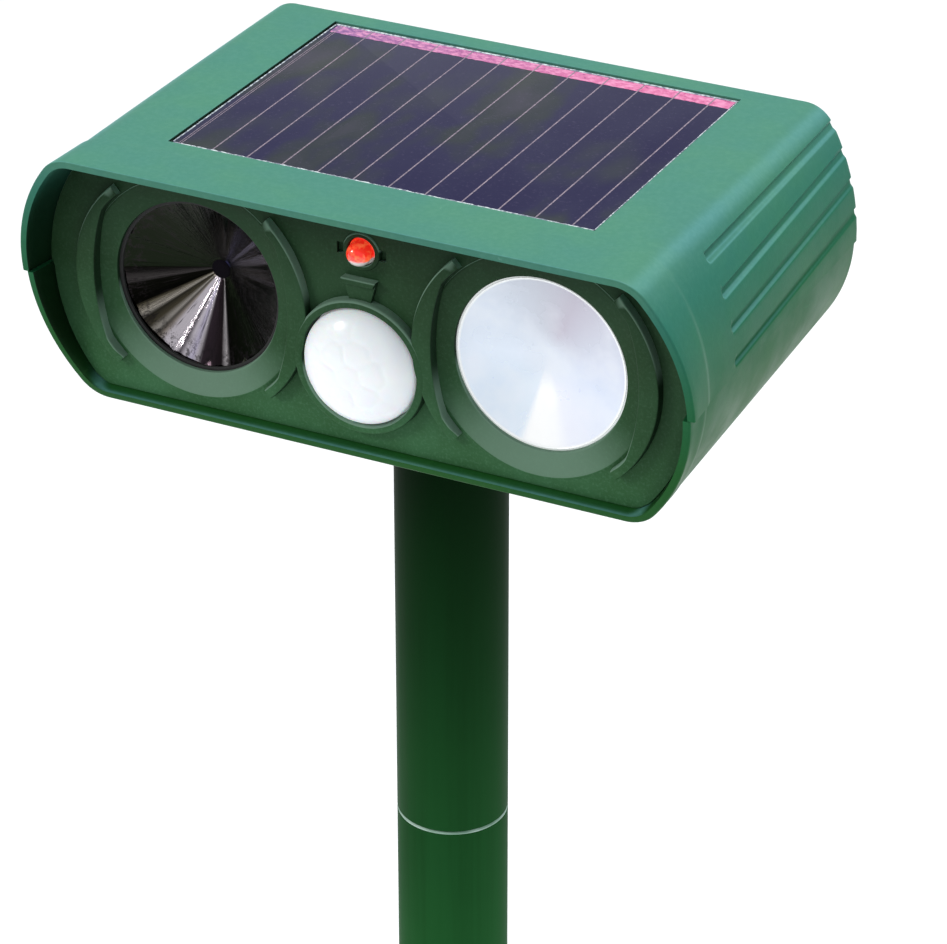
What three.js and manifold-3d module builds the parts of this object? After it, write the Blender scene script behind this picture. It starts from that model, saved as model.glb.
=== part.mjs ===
// A solar ultrasonic pest repeller on a two-part pole with a ground spike.
// Millimetres, +Z up. The origin is on the pole's axis at ground level, and the head faces -Y.

import * as THREE from 'three';
import { mergeVertices } from 'three/addons/utils/BufferGeometryUtils.js';
import Module from 'manifold-3d';

const wasm = await Module();
wasm.setup();

// ---- Driving dimensions ------------------------------------------------------------------

const GAP = 0.3; // clearance kept between neighbouring pieces
const PAST = 2; // how far a cutting tool runs past the face that it cuts
const FINE = 32; // segments round a large circle
const COARSE = 16; // segments round a small circle
const ARC_STEPS = 4; // steps along each arc of the head's outline

// Pole and spike
const POLE_R = 12.1;
const POLE_BORE = 10.3;
const SPIGOT_R = 10;
const SPIGOT_BORE = 8.2;
const SPIGOT_LENGTH = 22;
const SHOULDER_CHAMFER = 0.9;
const COLLAR_R = 15;
const COLLAR_TOP = 4;
const TUBE_JOINT_Z = 122;
const SPIKE_TIP_Z = -118;
const SPIKE_TAPER_Z = -20;
const BLADE_HALF_WIDTH = 12;
const BLADE_THICKNESS = 2.8;

// Head
const HEAD_MID = 255;
const HEAD_HALF_HEIGHT = 28.15;
const HEAD_BOTTOM = HEAD_MID - HEAD_HALF_HEIGHT;
const HEAD_TOP = HEAD_MID + HEAD_HALF_HEIGHT;
const WALL = 2.2;
const SPLIT_Z = HEAD_MID - 0.5; // where the top shell meets the bottom shell
const SPLIT_STEP = 1; // how much narrower the bottom shell is on each side
const VISOR = { halfWidth: 74, halfHeight: HEAD_HALF_HEIGHT, sideR: 40, cornerR: 8 };
const CASE = { halfWidth: 72.3, halfHeight: HEAD_HALF_HEIGHT - 0.45, sideR: 40, cornerR: 7 };
const VISOR_FRONT = -49.75; // at the top; the visor's front edge leans back below it
const VISOR_LEAN = Math.atan(0.172);
const VISOR_BACK = -34.6;
const CASE_BACK = 43.4;
const CASE_TOP = HEAD_MID + CASE.halfHeight;
const CASE_FLOOR = HEAD_MID - CASE.halfHeight;

// Cooling grooves along the head's two sides
const GROOVE_RISES = [4.2, 3.3, 2.8, 1.3]; // how far each groove climbs towards the back
const GROOVE_LOWEST = HEAD_MID + 0.6; // the lowest groove's lower edge, at its front end
const GROOVE_PITCH = 6.9;
const GROOVE_HEIGHT = 2.5;
const GROOVE_DEPTH = 1;
const GROOVE_FRONT = -23.4;

// Solar panel
const PANEL_HALF_WIDTH = 46.6;
const PANEL_FRONT = -31.5;
const PANEL_BACK = 38.4;
const PANEL_THICKNESS = 2;
const PANEL_TOP = CASE_TOP - 0.45;
const TRAY_THICKNESS = 2.4;

// Front panel
const PLATE_FRONT = -38;
const PLATE_BACK = -36.4;
const RIB_FRONT = -40.1;
const EYE_X = 38;
const EYE_Z = HEAD_MID - 0.15;
const EYE_HOLE_R = 18.4;
const EYE_BEVEL_R = 22.7;
const EYE_BOSS_R = 23.5;
const EYE_BOSS_FRONT = -38.6;
const CRESCENT_R = 26.4;
const CRESCENT_INNER_R = 42.5;
const CRESCENT_WIDTH = 4.3;
const PIR_Z = HEAD_MID - 8;
const PIR_DOME_R = 12.4;
const PIR_DOME_HEIGHT = 6.4;
const PIR_RING_R = 14.4;
const LED_Z = HEAD_MID + 16.4;
const LED_R = 2.5;

// Rear panel and its controls
const REAR_FRONT = 40.2;
const REAR_BACK = 42.2;
const KNOB_X = 34;
const KNOB_Z = HEAD_MID + 7;
const KNOB_R = 8.5;
const KNOB_LENGTH = 7.6;
const SWITCH_Z = HEAD_MID + 12;
const SWITCH_TRAVEL = 4;
const JACK_Z = HEAD_MID - 9;
const PLUG_HINGE_Z = JACK_Z - 9;
const REAR_SCREW_X = 64.4;
const REAR_SCREW_RISE = 10;

// Batteries, their door and the screws under the head
const CELL_R = 7.1;
const CELL_LENGTH = 49.2;
const CELL_FRONT = -10.6;
const CELL_Z = 237.2;
const CELL_XS = [-52, -37.5, -23];
const DOOR = { left: -56, right: -17.6, front: -11.7, back: 37.5, thickness: 2 };
const HINGE_Y = -13.9;
const HINGE_Z = HEAD_BOTTOM - 2.2;
const BARREL_R = 1.9;
const PIN_R = 0.8;
const CASE_SCREW_X = 52;
const CASE_SCREW_Y = -16;

// ---- Materials ---------------------------------------------------------------------------

function finish(color, roughness, metalness = 0) {
  return new THREE.MeshStandardMaterial({ color, roughness, metalness });
}

const greenShell = () => finish(0x1f6b45, 0.42);
const greenPanel = () => finish(0x2c4f33, 0.55);
const greenPole = () => finish(0x14532c, 0.45);
const blackPlastic = () => finish(0x17181a, 0.5);
const blackRubber = () => finish(0x101112, 0.8);
const steel = () => finish(0xb9bdc1, 0.3, 1);
const brass = () => finish(0xb08d4a, 0.35, 1);
const mirrorFilm = () => finish(0xcfccd6, 0.12, 1);
const pearl = () => finish(0xdfe2ea, 0.3, 0.4);
const milkyPlastic = () => finish(0xf1f0f4, 0.35);
const redPlastic = () => finish(0xe0240f, 0.15);
const solarGlass = () => finish(0x231f3c, 0.15);
const circuitBoard = () => finish(0x1d5a3a, 0.6);
const cellWrap = () => finish(0x3d7fb8, 0.35);
const whitePlastic = () => finish(0xe8e8e4, 0.4);

// ---- Shapes and booleans -----------------------------------------------------------------

function signedVolume(points, triangles) {
  let total = 0;
  const corners = [new THREE.Vector3(), new THREE.Vector3(), new THREE.Vector3()];
  for (let i = 0; i < triangles.length; i += 3) {
    corners.forEach((corner, k) => corner.fromArray(points, 3 * triangles[i + k]));
    total += corners[0].dot(corners[1].cross(corners[2]));
  }
  return total;
}

// Turns a closed three.js geometry into a solid, with its faces pointing out.
function solid(geometry) {
  const bare = geometry.clone();
  bare.deleteAttribute('normal');
  bare.deleteAttribute('uv');
  const merged = mergeVertices(bare, 1e-4);
  const vertProperties = new Float32Array(merged.attributes.position.array);
  const triVerts = new Uint32Array(merged.index.array);
  if (signedVolume(vertProperties, triVerts) < 0) triVerts.reverse();
  return new wasm.Manifold(new wasm.Mesh({ numProp: 3, vertProperties, triVerts }));
}

function piece(name, shape, material) {
  const { vertProperties, triVerts } = shape.getMesh();
  const geometry = new THREE.BufferGeometry();
  geometry.setAttribute('position', new THREE.BufferAttribute(vertProperties, 3));
  geometry.setIndex(new THREE.BufferAttribute(triVerts, 1));
  geometry.computeVertexNormals();
  const mesh = new THREE.Mesh(geometry, material);
  mesh.name = name;
  return mesh;
}

const join = (shapes) => shapes.reduce((whole, next) => whole.add(next));
const cut = (body, tools) => tools.reduce((left, tool) => left.subtract(tool), body);

function block(x0, x1, y0, y1, z0, z1) {
  const geometry = new THREE.BoxGeometry(x1 - x0, y1 - y0, z1 - z0);
  return solid(geometry.translate((x0 + x1) / 2, (y0 + y1) / 2, (z0 + z1) / 2));
}

function rodX(radius, x0, x1, y, z, segments = COARSE) {
  const geometry = new THREE.CylinderGeometry(radius, radius, x1 - x0, segments);
  return solid(geometry.rotateZ(Math.PI / 2).translate((x0 + x1) / 2, y, z));
}

function rodY(radius, y0, y1, x, z, segments = COARSE) {
  const geometry = new THREE.CylinderGeometry(radius, radius, y1 - y0, segments);
  return solid(geometry.translate(x, (y0 + y1) / 2, z));
}

function rodZ(radius, z0, z1, x = 0, y = 0, segments = COARSE) {
  const geometry = new THREE.CylinderGeometry(radius, radius, z1 - z0, segments);
  return solid(geometry.rotateX(Math.PI / 2).translate(x, y, (z0 + z1) / 2));
}

// A turned shape about an axis along Y, from [radius, y] points.
function turnedY(profile, x, z, segments = FINE) {
  const points = profile.map(([radius, y]) => new THREE.Vector2(radius, y));
  return solid(new THREE.LatheGeometry(points, segments).translate(x, 0, z));
}

// A turned shape about the pole's axis, from [radius, z] points.
function turnedZ(profile, segments = FINE) {
  const points = profile.map(([radius, z]) => new THREE.Vector2(radius, z));
  return solid(new THREE.LatheGeometry(points, segments).rotateX(Math.PI / 2));
}

// Extrudes a shape drawn in X and Z from y0 to y1, with the shape's zero height at the given z.
function extrudedY(shape, y0, y1, z, curveSegments = ARC_STEPS) {
  const options = { depth: y1 - y0, bevelEnabled: false, curveSegments };
  const geometry = new THREE.ExtrudeGeometry(shape, options);
  return solid(geometry.rotateX(Math.PI / 2).translate(0, y1, z));
}

// ---- The head's outline ------------------------------------------------------------------

// Flat top and bottom, a long arc on each side and rounded corners, drawn about the middle.
function headOutline({ halfWidth, halfHeight, sideR, cornerR }, inset = 0, narrower = 0) {
  const side = sideR - inset;
  const corner = cornerR - inset;
  const top = halfHeight - inset;
  const sideX = halfWidth - narrower - sideR;
  const cornerZ = top - corner;
  const cornerX = sideX + Math.sqrt((side - corner) ** 2 - cornerZ ** 2);
  const bend = Math.atan2(cornerZ, cornerX - sideX);
  const quarter = Math.PI / 2;
  const shape = new THREE.Shape();
  shape.moveTo(-cornerX, -top);
  shape.lineTo(cornerX, -top);
  shape.absarc(cornerX, -cornerZ, corner, -quarter, -bend, false);
  shape.absarc(sideX, 0, side, -bend, bend, false);
  shape.absarc(cornerX, cornerZ, corner, bend, quarter, false);
  shape.lineTo(-cornerX, top);
  shape.absarc(-cornerX, cornerZ, corner, quarter, 2 * quarter - bend, false);
  shape.absarc(-sideX, 0, side, 2 * quarter - bend, 2 * quarter + bend, false);
  shape.absarc(-cornerX, -cornerZ, corner, 2 * quarter + bend, 3 * quarter, false);
  return shape;
}

const FAR = 100; // reaches past the head on every side
const aboveSplit = () => block(-FAR, FAR, -FAR, FAR, SPLIT_Z, SPLIT_Z + FAR);
const belowSplit = () => block(-FAR, FAR, -FAR, FAR, SPLIT_Z - FAR, SPLIT_Z - GAP);

// Everything in front of the visor's leaning front edge.
function frontOfVisor() {
  const geometry = new THREE.BoxGeometry(2 * FAR, FAR, 4 * FAR).translate(0, -FAR / 2, 0);
  return solid(geometry.rotateX(VISOR_LEAN).translate(0, VISOR_FRONT, HEAD_TOP));
}

// The hollow tube that the two shells form: the visor in front and the case behind it.
function shellTube(narrower) {
  const visor = extrudedY(headOutline(VISOR, 0, narrower), VISOR_FRONT, VISOR_BACK, HEAD_MID);
  const body = extrudedY(headOutline(CASE, 0, narrower), VISOR_BACK - 1, CASE_BACK, HEAD_MID);
  const mouth = headOutline(VISOR, WALL, narrower);
  const cavity = headOutline(CASE, WALL, narrower);
  const ledge = PLATE_BACK + GAP;
  return cut(visor.add(body), [
    frontOfVisor(),
    extrudedY(mouth, VISOR_FRONT - PAST, ledge, HEAD_MID),
    extrudedY(cavity, ledge - 1, CASE_BACK + PAST, HEAD_MID),
  ]);
}

// A flat plate that closes the shells, wider above the split than below it.
function closingPlate(outline, y0, y1) {
  const inset = WALL + GAP;
  const wide = extrudedY(headOutline(outline, inset), y0, y1, HEAD_MID);
  const narrow = extrudedY(headOutline(outline, inset, SPLIT_STEP), y0, y1, HEAD_MID);
  return wide.intersect(aboveSplit()).add(narrow);
}

// ---- Shells ------------------------------------------------------------------------------

function grooveCutter(rise, index) {
  const low = GROOVE_LOWEST + index * GROOVE_PITCH;
  const slope = Math.atan(rise / (CASE_BACK - GROOVE_FRONT));
  const beyond = extrudedY(headOutline(CASE, -PAST), GROOVE_FRONT, CASE_BACK + PAST, HEAD_MID);
  const floor = extrudedY(headOutline(CASE, GROOVE_DEPTH), -FAR, FAR, HEAD_MID);
  const band = new THREE.BoxGeometry(2 * FAR, 2 * FAR, GROOVE_HEIGHT);
  band.translate(0, FAR, GROOVE_HEIGHT / 2).rotateX(slope);
  band.translate(0, GROOVE_FRONT, low);
  return beyond.subtract(floor).intersect(solid(band));
}

function topShell() {
  const trayBottom = PANEL_TOP - PANEL_THICKNESS - GAP - TRAY_THICKNESS;
  const tray = block(
    -PANEL_HALF_WIDTH - 3, PANEL_HALF_WIDTH + 3, PANEL_FRONT - 1.5, PANEL_BACK + 1.5,
    trayBottom, CASE_TOP - 1,
  );
  const pillar = (x) => rodZ(3.4, SPLIT_Z + GAP, CASE_TOP - 1, x, CASE_SCREW_Y);
  const pillarHole = (x) => rodZ(1.7, SPLIT_Z - PAST, SPLIT_Z + 14, x, CASE_SCREW_Y);
  const rearZ = HEAD_MID + REAR_SCREW_RISE;
  const lug = (x) => rodY(4.6, 30, REAR_FRONT - GAP, x, rearZ);
  const lugHole = (x) => rodY(1.7, 31.5, REAR_FRONT + PAST, x, rearZ);
  const shell = join([
    shellTube(0).intersect(aboveSplit()), tray,
    pillar(-CASE_SCREW_X), pillar(CASE_SCREW_X), lug(-REAR_SCREW_X), lug(REAR_SCREW_X),
  ]);
  const recess = block(
    -PANEL_HALF_WIDTH, PANEL_HALF_WIDTH, PANEL_FRONT, PANEL_BACK,
    PANEL_TOP - PANEL_THICKNESS - GAP, CASE_TOP + PAST,
  );
  const leadHole = rodZ(2.5, trayBottom - PAST, CASE_TOP, 20, 0);
  return cut(shell, [
    recess, leadHole, ...GROOVE_RISES.map(grooveCutter),
    pillarHole(-CASE_SCREW_X), pillarHole(CASE_SCREW_X),
    lugHole(-REAR_SCREW_X), lugHole(REAR_SCREW_X),
  ]);
}

const SOCKET_R = POLE_R + GAP;
const SOCKET_TOP = HEAD_BOTTOM + 19.7;
const LUG_SPANS = [[-45.6, -40], [-34, -28.4]];
const KNUCKLE_SPANS = [[-52, -46], [-28, -22]];

function hingeLug([x0, x1]) {
  const barrel = rodX(BARREL_R, x0, x1, HINGE_Y, HINGE_Z);
  const foot = block(x0, x1, HINGE_Y - BARREL_R, HINGE_Y + 1.2, HINGE_Z, CASE_FLOOR + 1);
  return barrel.add(foot);
}

function bottomShell() {
  const socket = rodZ(SOCKET_R + 2.6, HEAD_BOTTOM, SOCKET_TOP + 2.6, 0, 0, FINE);
  const pillar = (x) => rodZ(3.4, CASE_FLOOR, SPLIT_Z - GAP, x, CASE_SCREW_Y);
  const rearZ = HEAD_MID - REAR_SCREW_RISE;
  const lug = (x) => rodY(4.6, 30, REAR_FRONT - GAP, x, rearZ);
  const lugHole = (x) => rodY(1.7, 31.5, REAR_FRONT + PAST, x, rearZ);
  const bayWall = block(-47, -17, -13.6, -12.4, CASE_FLOOR + 1, CELL_Z + 7);
  const shell = join([
    shellTube(SPLIT_STEP).intersect(belowSplit()), socket, bayWall,
    pillar(-CASE_SCREW_X), pillar(CASE_SCREW_X), lug(-REAR_SCREW_X), lug(REAR_SCREW_X),
    ...LUG_SPANS.map(hingeLug),
  ]);
  const doorway = block(
    DOOR.left - GAP, DOOR.right + GAP, DOOR.front - GAP, DOOR.back + GAP,
    HEAD_BOTTOM - 1, HEAD_BOTTOM + 4,
  );
  const screwWay = (x) => rodZ(1.7, HEAD_BOTTOM - PAST, SPLIT_Z + PAST, x, CASE_SCREW_Y);
  const headSeat = (x) => rodZ(3.1, HEAD_BOTTOM - PAST, CASE_FLOOR + 2.6, x, CASE_SCREW_Y, 16);
  return cut(shell, [
    rodZ(SOCKET_R, HEAD_BOTTOM - PAST, SOCKET_TOP, 0, 0, FINE), doorway,
    screwWay(-CASE_SCREW_X), screwWay(CASE_SCREW_X),
    headSeat(-CASE_SCREW_X), headSeat(CASE_SCREW_X),
    lugHole(-REAR_SCREW_X), lugHole(REAR_SCREW_X),
    rodX(PIN_R + GAP, -60, -15, HINGE_Y, HINGE_Z, 16),
  ]);
}

// ---- Front panel -------------------------------------------------------------------------

// A rib shaped like a bracket on one side of an eye: thick in the middle, pointed at its ends.
function crescent(eyeX, side) {
  const innerX = eyeX + side * (CRESCENT_R - CRESCENT_WIDTH - CRESCENT_INNER_R);
  const front = RIB_FRONT;
  const back = PLATE_FRONT + 1;
  const outer = rodY(CRESCENT_R, front, back, eyeX, EYE_Z, 2 * FINE);
  const inner = rodY(CRESCENT_INNER_R, front - PAST, back + PAST, innerX, EYE_Z, 2 * FINE);
  const keep = side > 0
    ? block(eyeX, eyeX + FAR, -FAR, FAR, 0, 2 * HEAD_MID)
    : block(eyeX - FAR, eyeX, -FAR, FAR, 0, 2 * HEAD_MID);
  return outer.subtract(inner).intersect(keep);
}

function eyeBevel(x) {
  return turnedY([
    [0, EYE_BOSS_FRONT - 1], [EYE_BEVEL_R + 2.5, EYE_BOSS_FRONT - 1],
    [EYE_HOLE_R, PLATE_FRONT + 1.1], [EYE_HOLE_R, PLATE_BACK + PAST], [0, PLATE_BACK + PAST],
  ], x, EYE_Z);
}

function ledTab() {
  const shape = new THREE.Shape();
  shape.moveTo(-3.6, 6.4);
  shape.lineTo(-2.2, 0);
  shape.lineTo(2.2, 0);
  shape.lineTo(3.6, 6.4);
  return extrudedY(shape, PLATE_FRONT - 1.2, PLATE_FRONT + 1, PIR_Z + PIR_DOME_R);
}

function frontPanel() {
  const plate = join([
    closingPlate(VISOR, PLATE_FRONT, PLATE_BACK),
    rodY(EYE_BOSS_R, EYE_BOSS_FRONT, PLATE_BACK, -EYE_X, EYE_Z, FINE),
    rodY(EYE_BOSS_R, EYE_BOSS_FRONT, PLATE_BACK, EYE_X, EYE_Z, FINE),
    rodY(PIR_RING_R, RIB_FRONT, PLATE_BACK, 0, PIR_Z, FINE),
    crescent(-EYE_X, -1), crescent(-EYE_X, 1), crescent(EYE_X, -1), crescent(EYE_X, 1),
    ledTab(),
  ]);
  return cut(plate, [
    eyeBevel(-EYE_X), eyeBevel(EYE_X),
    rodY(PIR_DOME_R + GAP, RIB_FRONT - PAST, PLATE_BACK + PAST, 0, PIR_Z, FINE),
    rodY(LED_R + 0.7, RIB_FRONT, PLATE_BACK + PAST, 0, LED_Z),
    block(-4.6, 4.6, PLATE_FRONT - PAST, PLATE_FRONT + 0.8, LED_Z - 1, LED_Z + 1),
  ]);
}

// ---- What the front panel holds ----------------------------------------------------------

const SPEAKER_FRONT = PLATE_BACK + GAP; // behind the plate, where the seals start
const CONE_FRONT = SPEAKER_FRONT + 1.1;
const CONE_DEPTH = 7.8;
const PIEZO_FRONT = CONE_FRONT + CONE_DEPTH + 0.8 + GAP;

function speakerSeal() {
  const ring = rodY(21.5, SPEAKER_FRONT, SPEAKER_FRONT + 0.8, -EYE_X, EYE_Z, FINE);
  const hole = rodY(17.8, SPEAKER_FRONT - PAST, SPEAKER_FRONT + PAST, -EYE_X, EYE_Z, FINE);
  return ring.subtract(hole);
}

function speakerCone() {
  const front = CONE_FRONT;
  const back = front + CONE_DEPTH;
  return turnedY([
    [0, back], [2.6, back], [18, front], [18.9, front],
    [18.9, front + 0.6], [18.2, front + 0.6], [2.9, back + 0.8], [0, back + 0.8],
  ], -EYE_X, EYE_Z);
}

function speakerFrame() {
  const seat = PIEZO_FRONT + 0.6 + GAP;
  return turnedY([
    [21.5, CONE_FRONT], [21.5, seat + 1.4], [6, seat + 1.4], [6, seat],
    [19.3, seat], [19.3, CONE_FRONT], [21.5, CONE_FRONT],
  ], -EYE_X, EYE_Z);
}

function piezoElement() {
  const back = PIEZO_FRONT + 0.6;
  return turnedY([
    [0, PIEZO_FRONT], [15, PIEZO_FRONT], [15, back], [4, back], [4, back + 2.8], [0, back + 2.8],
  ], -EYE_X, EYE_Z);
}

// A shallow dish: its face curves in towards the middle.
function flashLens() {
  const edge = PLATE_FRONT + 1.5;
  const bowl = 2.6;
  const rim = EYE_HOLE_R - GAP;
  const steps = 5;
  const face = Array.from({ length: steps + 1 }, (_, i) => {
    const radius = rim * (i / steps);
    return [radius, edge + bowl * (1 - (radius / rim) ** 2)];
  });
  const thickness = 1.2;
  return turnedY([
    ...face, [rim, SPEAKER_FRONT], [21, SPEAKER_FRONT], [21, SPEAKER_FRONT + 0.8],
    [17, SPEAKER_FRONT + 0.8], [10, edge + bowl + thickness], [0, edge + bowl + thickness],
  ], EYE_X, EYE_Z);
}

const REFLECTOR_DEPTH = 12.5;

function flashReflector() {
  const front = CONE_FRONT;
  const back = front + REFLECTOR_DEPTH;
  return turnedY([
    [20.8, front], [20.8, front + 1], [19.4, front + 1], [5.6, back], [4.6, back],
    [4.6, back - 0.8], [18, front], [20.8, front],
  ], EYE_X, EYE_Z);
}

function flashLed() {
  const front = CONE_FRONT + REFLECTOR_DEPTH + GAP;
  return turnedY([
    [0, front - 3.4], [1.6, front - 3], [2.4, front - 2.1], [2.6, front - 1], [2.6, front],
    [9, front], [9, front + 1.6], [0, front + 1.6],
  ], EYE_X, EYE_Z, COARSE);
}

// A flattened dome with a flange behind the front panel, open at its back.
function pirDome() {
  const base = PLATE_FRONT - 0.6;
  const steps = 5;
  const arc = (radius, height) => Array.from({ length: steps + 1 }, (_, i) => {
    const angle = (Math.PI / 2) * (i / steps);
    return [radius * Math.sin(angle), base - height * Math.cos(angle)];
  });
  const back = SPEAKER_FRONT + 0.9;
  return turnedY([
    ...arc(PIR_DOME_R, PIR_DOME_HEIGHT),
    [PIR_DOME_R, SPEAKER_FRONT], [14, SPEAKER_FRONT], [14, back], [PIR_DOME_R - 1, back],
    ...arc(PIR_DOME_R - 1, PIR_DOME_HEIGHT - 1).reverse(),
  ], 0, PIR_Z);
}

const BOARD_FRONT = -31; // the sensor board's face

function pirSensor() {
  const back = BOARD_FRONT - GAP;
  return turnedY([
    [0, back - 4.2], [4.1, back - 4.2], [4.1, back - 0.6], [4.6, back - 0.6], [4.6, back], [0, back],
  ], 0, PIR_Z, COARSE);
}

function statusLed() {
  const tip = PLATE_FRONT - 3.6;
  const steps = 4;
  const dome = Array.from({ length: steps + 1 }, (_, i) => {
    const angle = (Math.PI / 2) * (i / steps);
    return [LED_R * Math.sin(angle), tip + LED_R * (1 - Math.cos(angle))];
  });
  const body = turnedY([
    ...dome, [LED_R, PLATE_FRONT + 0.4], [LED_R + 0.4, PLATE_FRONT + 0.4],
    [LED_R + 0.4, PLATE_FRONT + 1.4], [0, PLATE_FRONT + 1.4],
  ], 0, LED_Z, COARSE);
  const leg = (x) => block(x - 0.3, x + 0.3, PLATE_FRONT + 1, BOARD_FRONT - GAP, LED_Z - 0.3, LED_Z + 0.3);
  return join([body, leg(-1.27), leg(1.27)]);
}

const sensorBoard = () => block(-15.3, 15.3, BOARD_FRONT, BOARD_FRONT + 1.6, 236, 277.5);

const driverChip = () => block(-5, 5, BOARD_FRONT + 1.9, BOARD_FRONT + 3.6, 255, 263);

// ---- Solar panel -------------------------------------------------------------------------

function solarPanel() {
  return block(
    -PANEL_HALF_WIDTH + GAP, PANEL_HALF_WIDTH - GAP, PANEL_FRONT + GAP, PANEL_BACK - GAP,
    PANEL_TOP - PANEL_THICKNESS, PANEL_TOP,
  );
}

// ---- Rear panel and its controls ---------------------------------------------------------

function rearPanel() {
  const plate = closingPlate(CASE, REAR_FRONT, REAR_BACK);
  const screwHole = (x, z) => rodY(1.8, REAR_FRONT - PAST, REAR_BACK + PAST, x, z, 16);
  const high = HEAD_MID + REAR_SCREW_RISE;
  const low = HEAD_MID - REAR_SCREW_RISE;
  const slot = 2.6 + SWITCH_TRAVEL / 2;
  return cut(plate, [
    rodY(3.3, REAR_FRONT - PAST, REAR_BACK + PAST, -KNOB_X, KNOB_Z),
    rodY(3.3, REAR_FRONT - PAST, REAR_BACK + PAST, KNOB_X, KNOB_Z),
    rodY(3.8, REAR_FRONT - PAST, REAR_BACK + PAST, 0, JACK_Z),
    block(-slot, slot, REAR_FRONT - PAST, REAR_BACK + PAST, SWITCH_Z - 2.3, SWITCH_Z + 2.3),
    screwHole(-REAR_SCREW_X, high), screwHole(REAR_SCREW_X, high),
    screwHole(-REAR_SCREW_X, low), screwHole(REAR_SCREW_X, low),
  ]);
}

const CONTROL_BOARD_BACK = 34; // the face that the controls are soldered to

function controlBoard() {
  const upper = block(-46, 46, CONTROL_BOARD_BACK - 1.6, CONTROL_BOARD_BACK, 252, 275.5);
  const lower = block(-12, 12, CONTROL_BOARD_BACK - 1.6, CONTROL_BOARD_BACK, 238, 253);
  return upper.add(lower);
}

// The potentiometer's can, with a round well that the knob's shaft turns in.
function potentiometer(x) {
  const front = CONTROL_BOARD_BACK + GAP;
  const can = rodY(7.6, front, REAR_FRONT - GAP, x, KNOB_Z);
  return can.subtract(rodY(3.2, front + 1.4, REAR_FRONT, x, KNOB_Z));
}

// A round knob with a grip bar across its face and a shaft that reaches into its potentiometer.
function knob(x) {
  const face = REAR_BACK + GAP;
  const tip = face + KNOB_LENGTH;
  const skirt = turnedY([
    [0, face], [KNOB_R, face], [KNOB_R, face + 2.2], [KNOB_R - 1, face + 3], [0, face + 3],
  ], x, KNOB_Z);
  const grip = block(x - 1.9, x + 1.9, face + 2, tip, KNOB_Z - KNOB_R + 1.2, KNOB_Z + KNOB_R - 1.2);
  const drum = rodY(5, face + 2, tip - 1.6, x, KNOB_Z);
  const shaft = rodY(2.9, CONTROL_BOARD_BACK + GAP + 1.7, face + 1, x, KNOB_Z);
  return join([skirt, grip, drum, shaft]);
}

function powerSwitchBody() {
  const front = CONTROL_BOARD_BACK + GAP;
  const reach = 4.2 + SWITCH_TRAVEL;
  const can = block(-8.5, 8.5, front, REAR_FRONT - GAP, SWITCH_Z - 4, SWITCH_Z + 4);
  return can.subtract(block(-reach, reach, front + 1.5, REAR_FRONT, SWITCH_Z - 2.6, SWITCH_Z + 2.6));
}

// At rest the switch is off, at the -X end of its slot.
function powerSwitchSlider() {
  const centre = -SWITCH_TRAVEL / 2;
  const foot = CONTROL_BOARD_BACK + GAP + 1.8;
  const carriage = block(centre - 5, centre + 5, foot, foot + 3, SWITCH_Z - 2.3, SWITCH_Z + 2.3);
  const button = block(centre - 2.3, centre + 2.3, foot + 2, REAR_BACK + 2.4, SWITCH_Z - 2, SWITCH_Z + 2);
  return carriage.add(button);
}

function chargeJack() {
  const front = CONTROL_BOARD_BACK + GAP;
  const can = block(-4.8, 4.8, front, REAR_FRONT - GAP, JACK_Z - 5, JACK_Z + 5);
  const nose = rodY(3.5, front, REAR_BACK - 0.2, 0, JACK_Z);
  const bore = rodY(2.75, front + 1.5, REAR_BACK + PAST, 0, JACK_Z);
  const pin = rodY(0.8, front + 1, REAR_BACK - 2, 0, JACK_Z, 12);
  return can.add(nose).subtract(bore).add(pin);
}

// A rubber cap on a short strap, which folds down about the strap's lower end.
function chargePortPlug() {
  const face = REAR_BACK + GAP;
  const cap = rodY(5.4, face, face + 1.8, 0, JACK_Z);
  const strap = block(-2.2, 2.2, face, face + 1.2, PLUG_HINGE_Z, JACK_Z);
  const root = rodX(0.9, -3.4, 3.4, face + 0.9, PLUG_HINGE_Z, 16);
  const tab = block(-1.6, 1.6, face + 0.6, face + 3, JACK_Z + 3.4, JACK_Z + 5);
  return join([cap, strap, root, tab]);
}

// ---- Batteries and their door ------------------------------------------------------------

function battery(x) {
  const back = CELL_FRONT + CELL_LENGTH;
  return turnedY([
    [0, CELL_FRONT], [2.6, CELL_FRONT], [2.6, CELL_FRONT + 1], [CELL_R - 0.6, CELL_FRONT + 1],
    [CELL_R, CELL_FRONT + 1.6], [CELL_R, back - 0.5], [CELL_R - 0.5, back], [0, back],
  ], x, CELL_Z, COARSE);
}

// A strip that joins the cells' ends, with a bump that presses on each cell.
function contactStrip(y, towards) {
  const left = CELL_XS[0] - 4;
  const right = CELL_XS[2] + 4;
  const strip = block(left, right, y - 0.25, y + 0.25, CELL_Z - 5, CELL_Z + 6);
  const bumps = CELL_XS.map((x) => {
    const ends = [y, y + towards * 0.9].sort((a, b) => a - b);
    return rodY(2.2, ends[0], ends[1], x, CELL_Z, 16);
  });
  return join([strip, ...bumps]);
}

const contactsFront = () => contactStrip(CELL_FRONT - 0.9 - GAP, 0.8);
const contactsRear = () => contactStrip(CELL_FRONT + CELL_LENGTH + 0.9 + GAP, -1);

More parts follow.
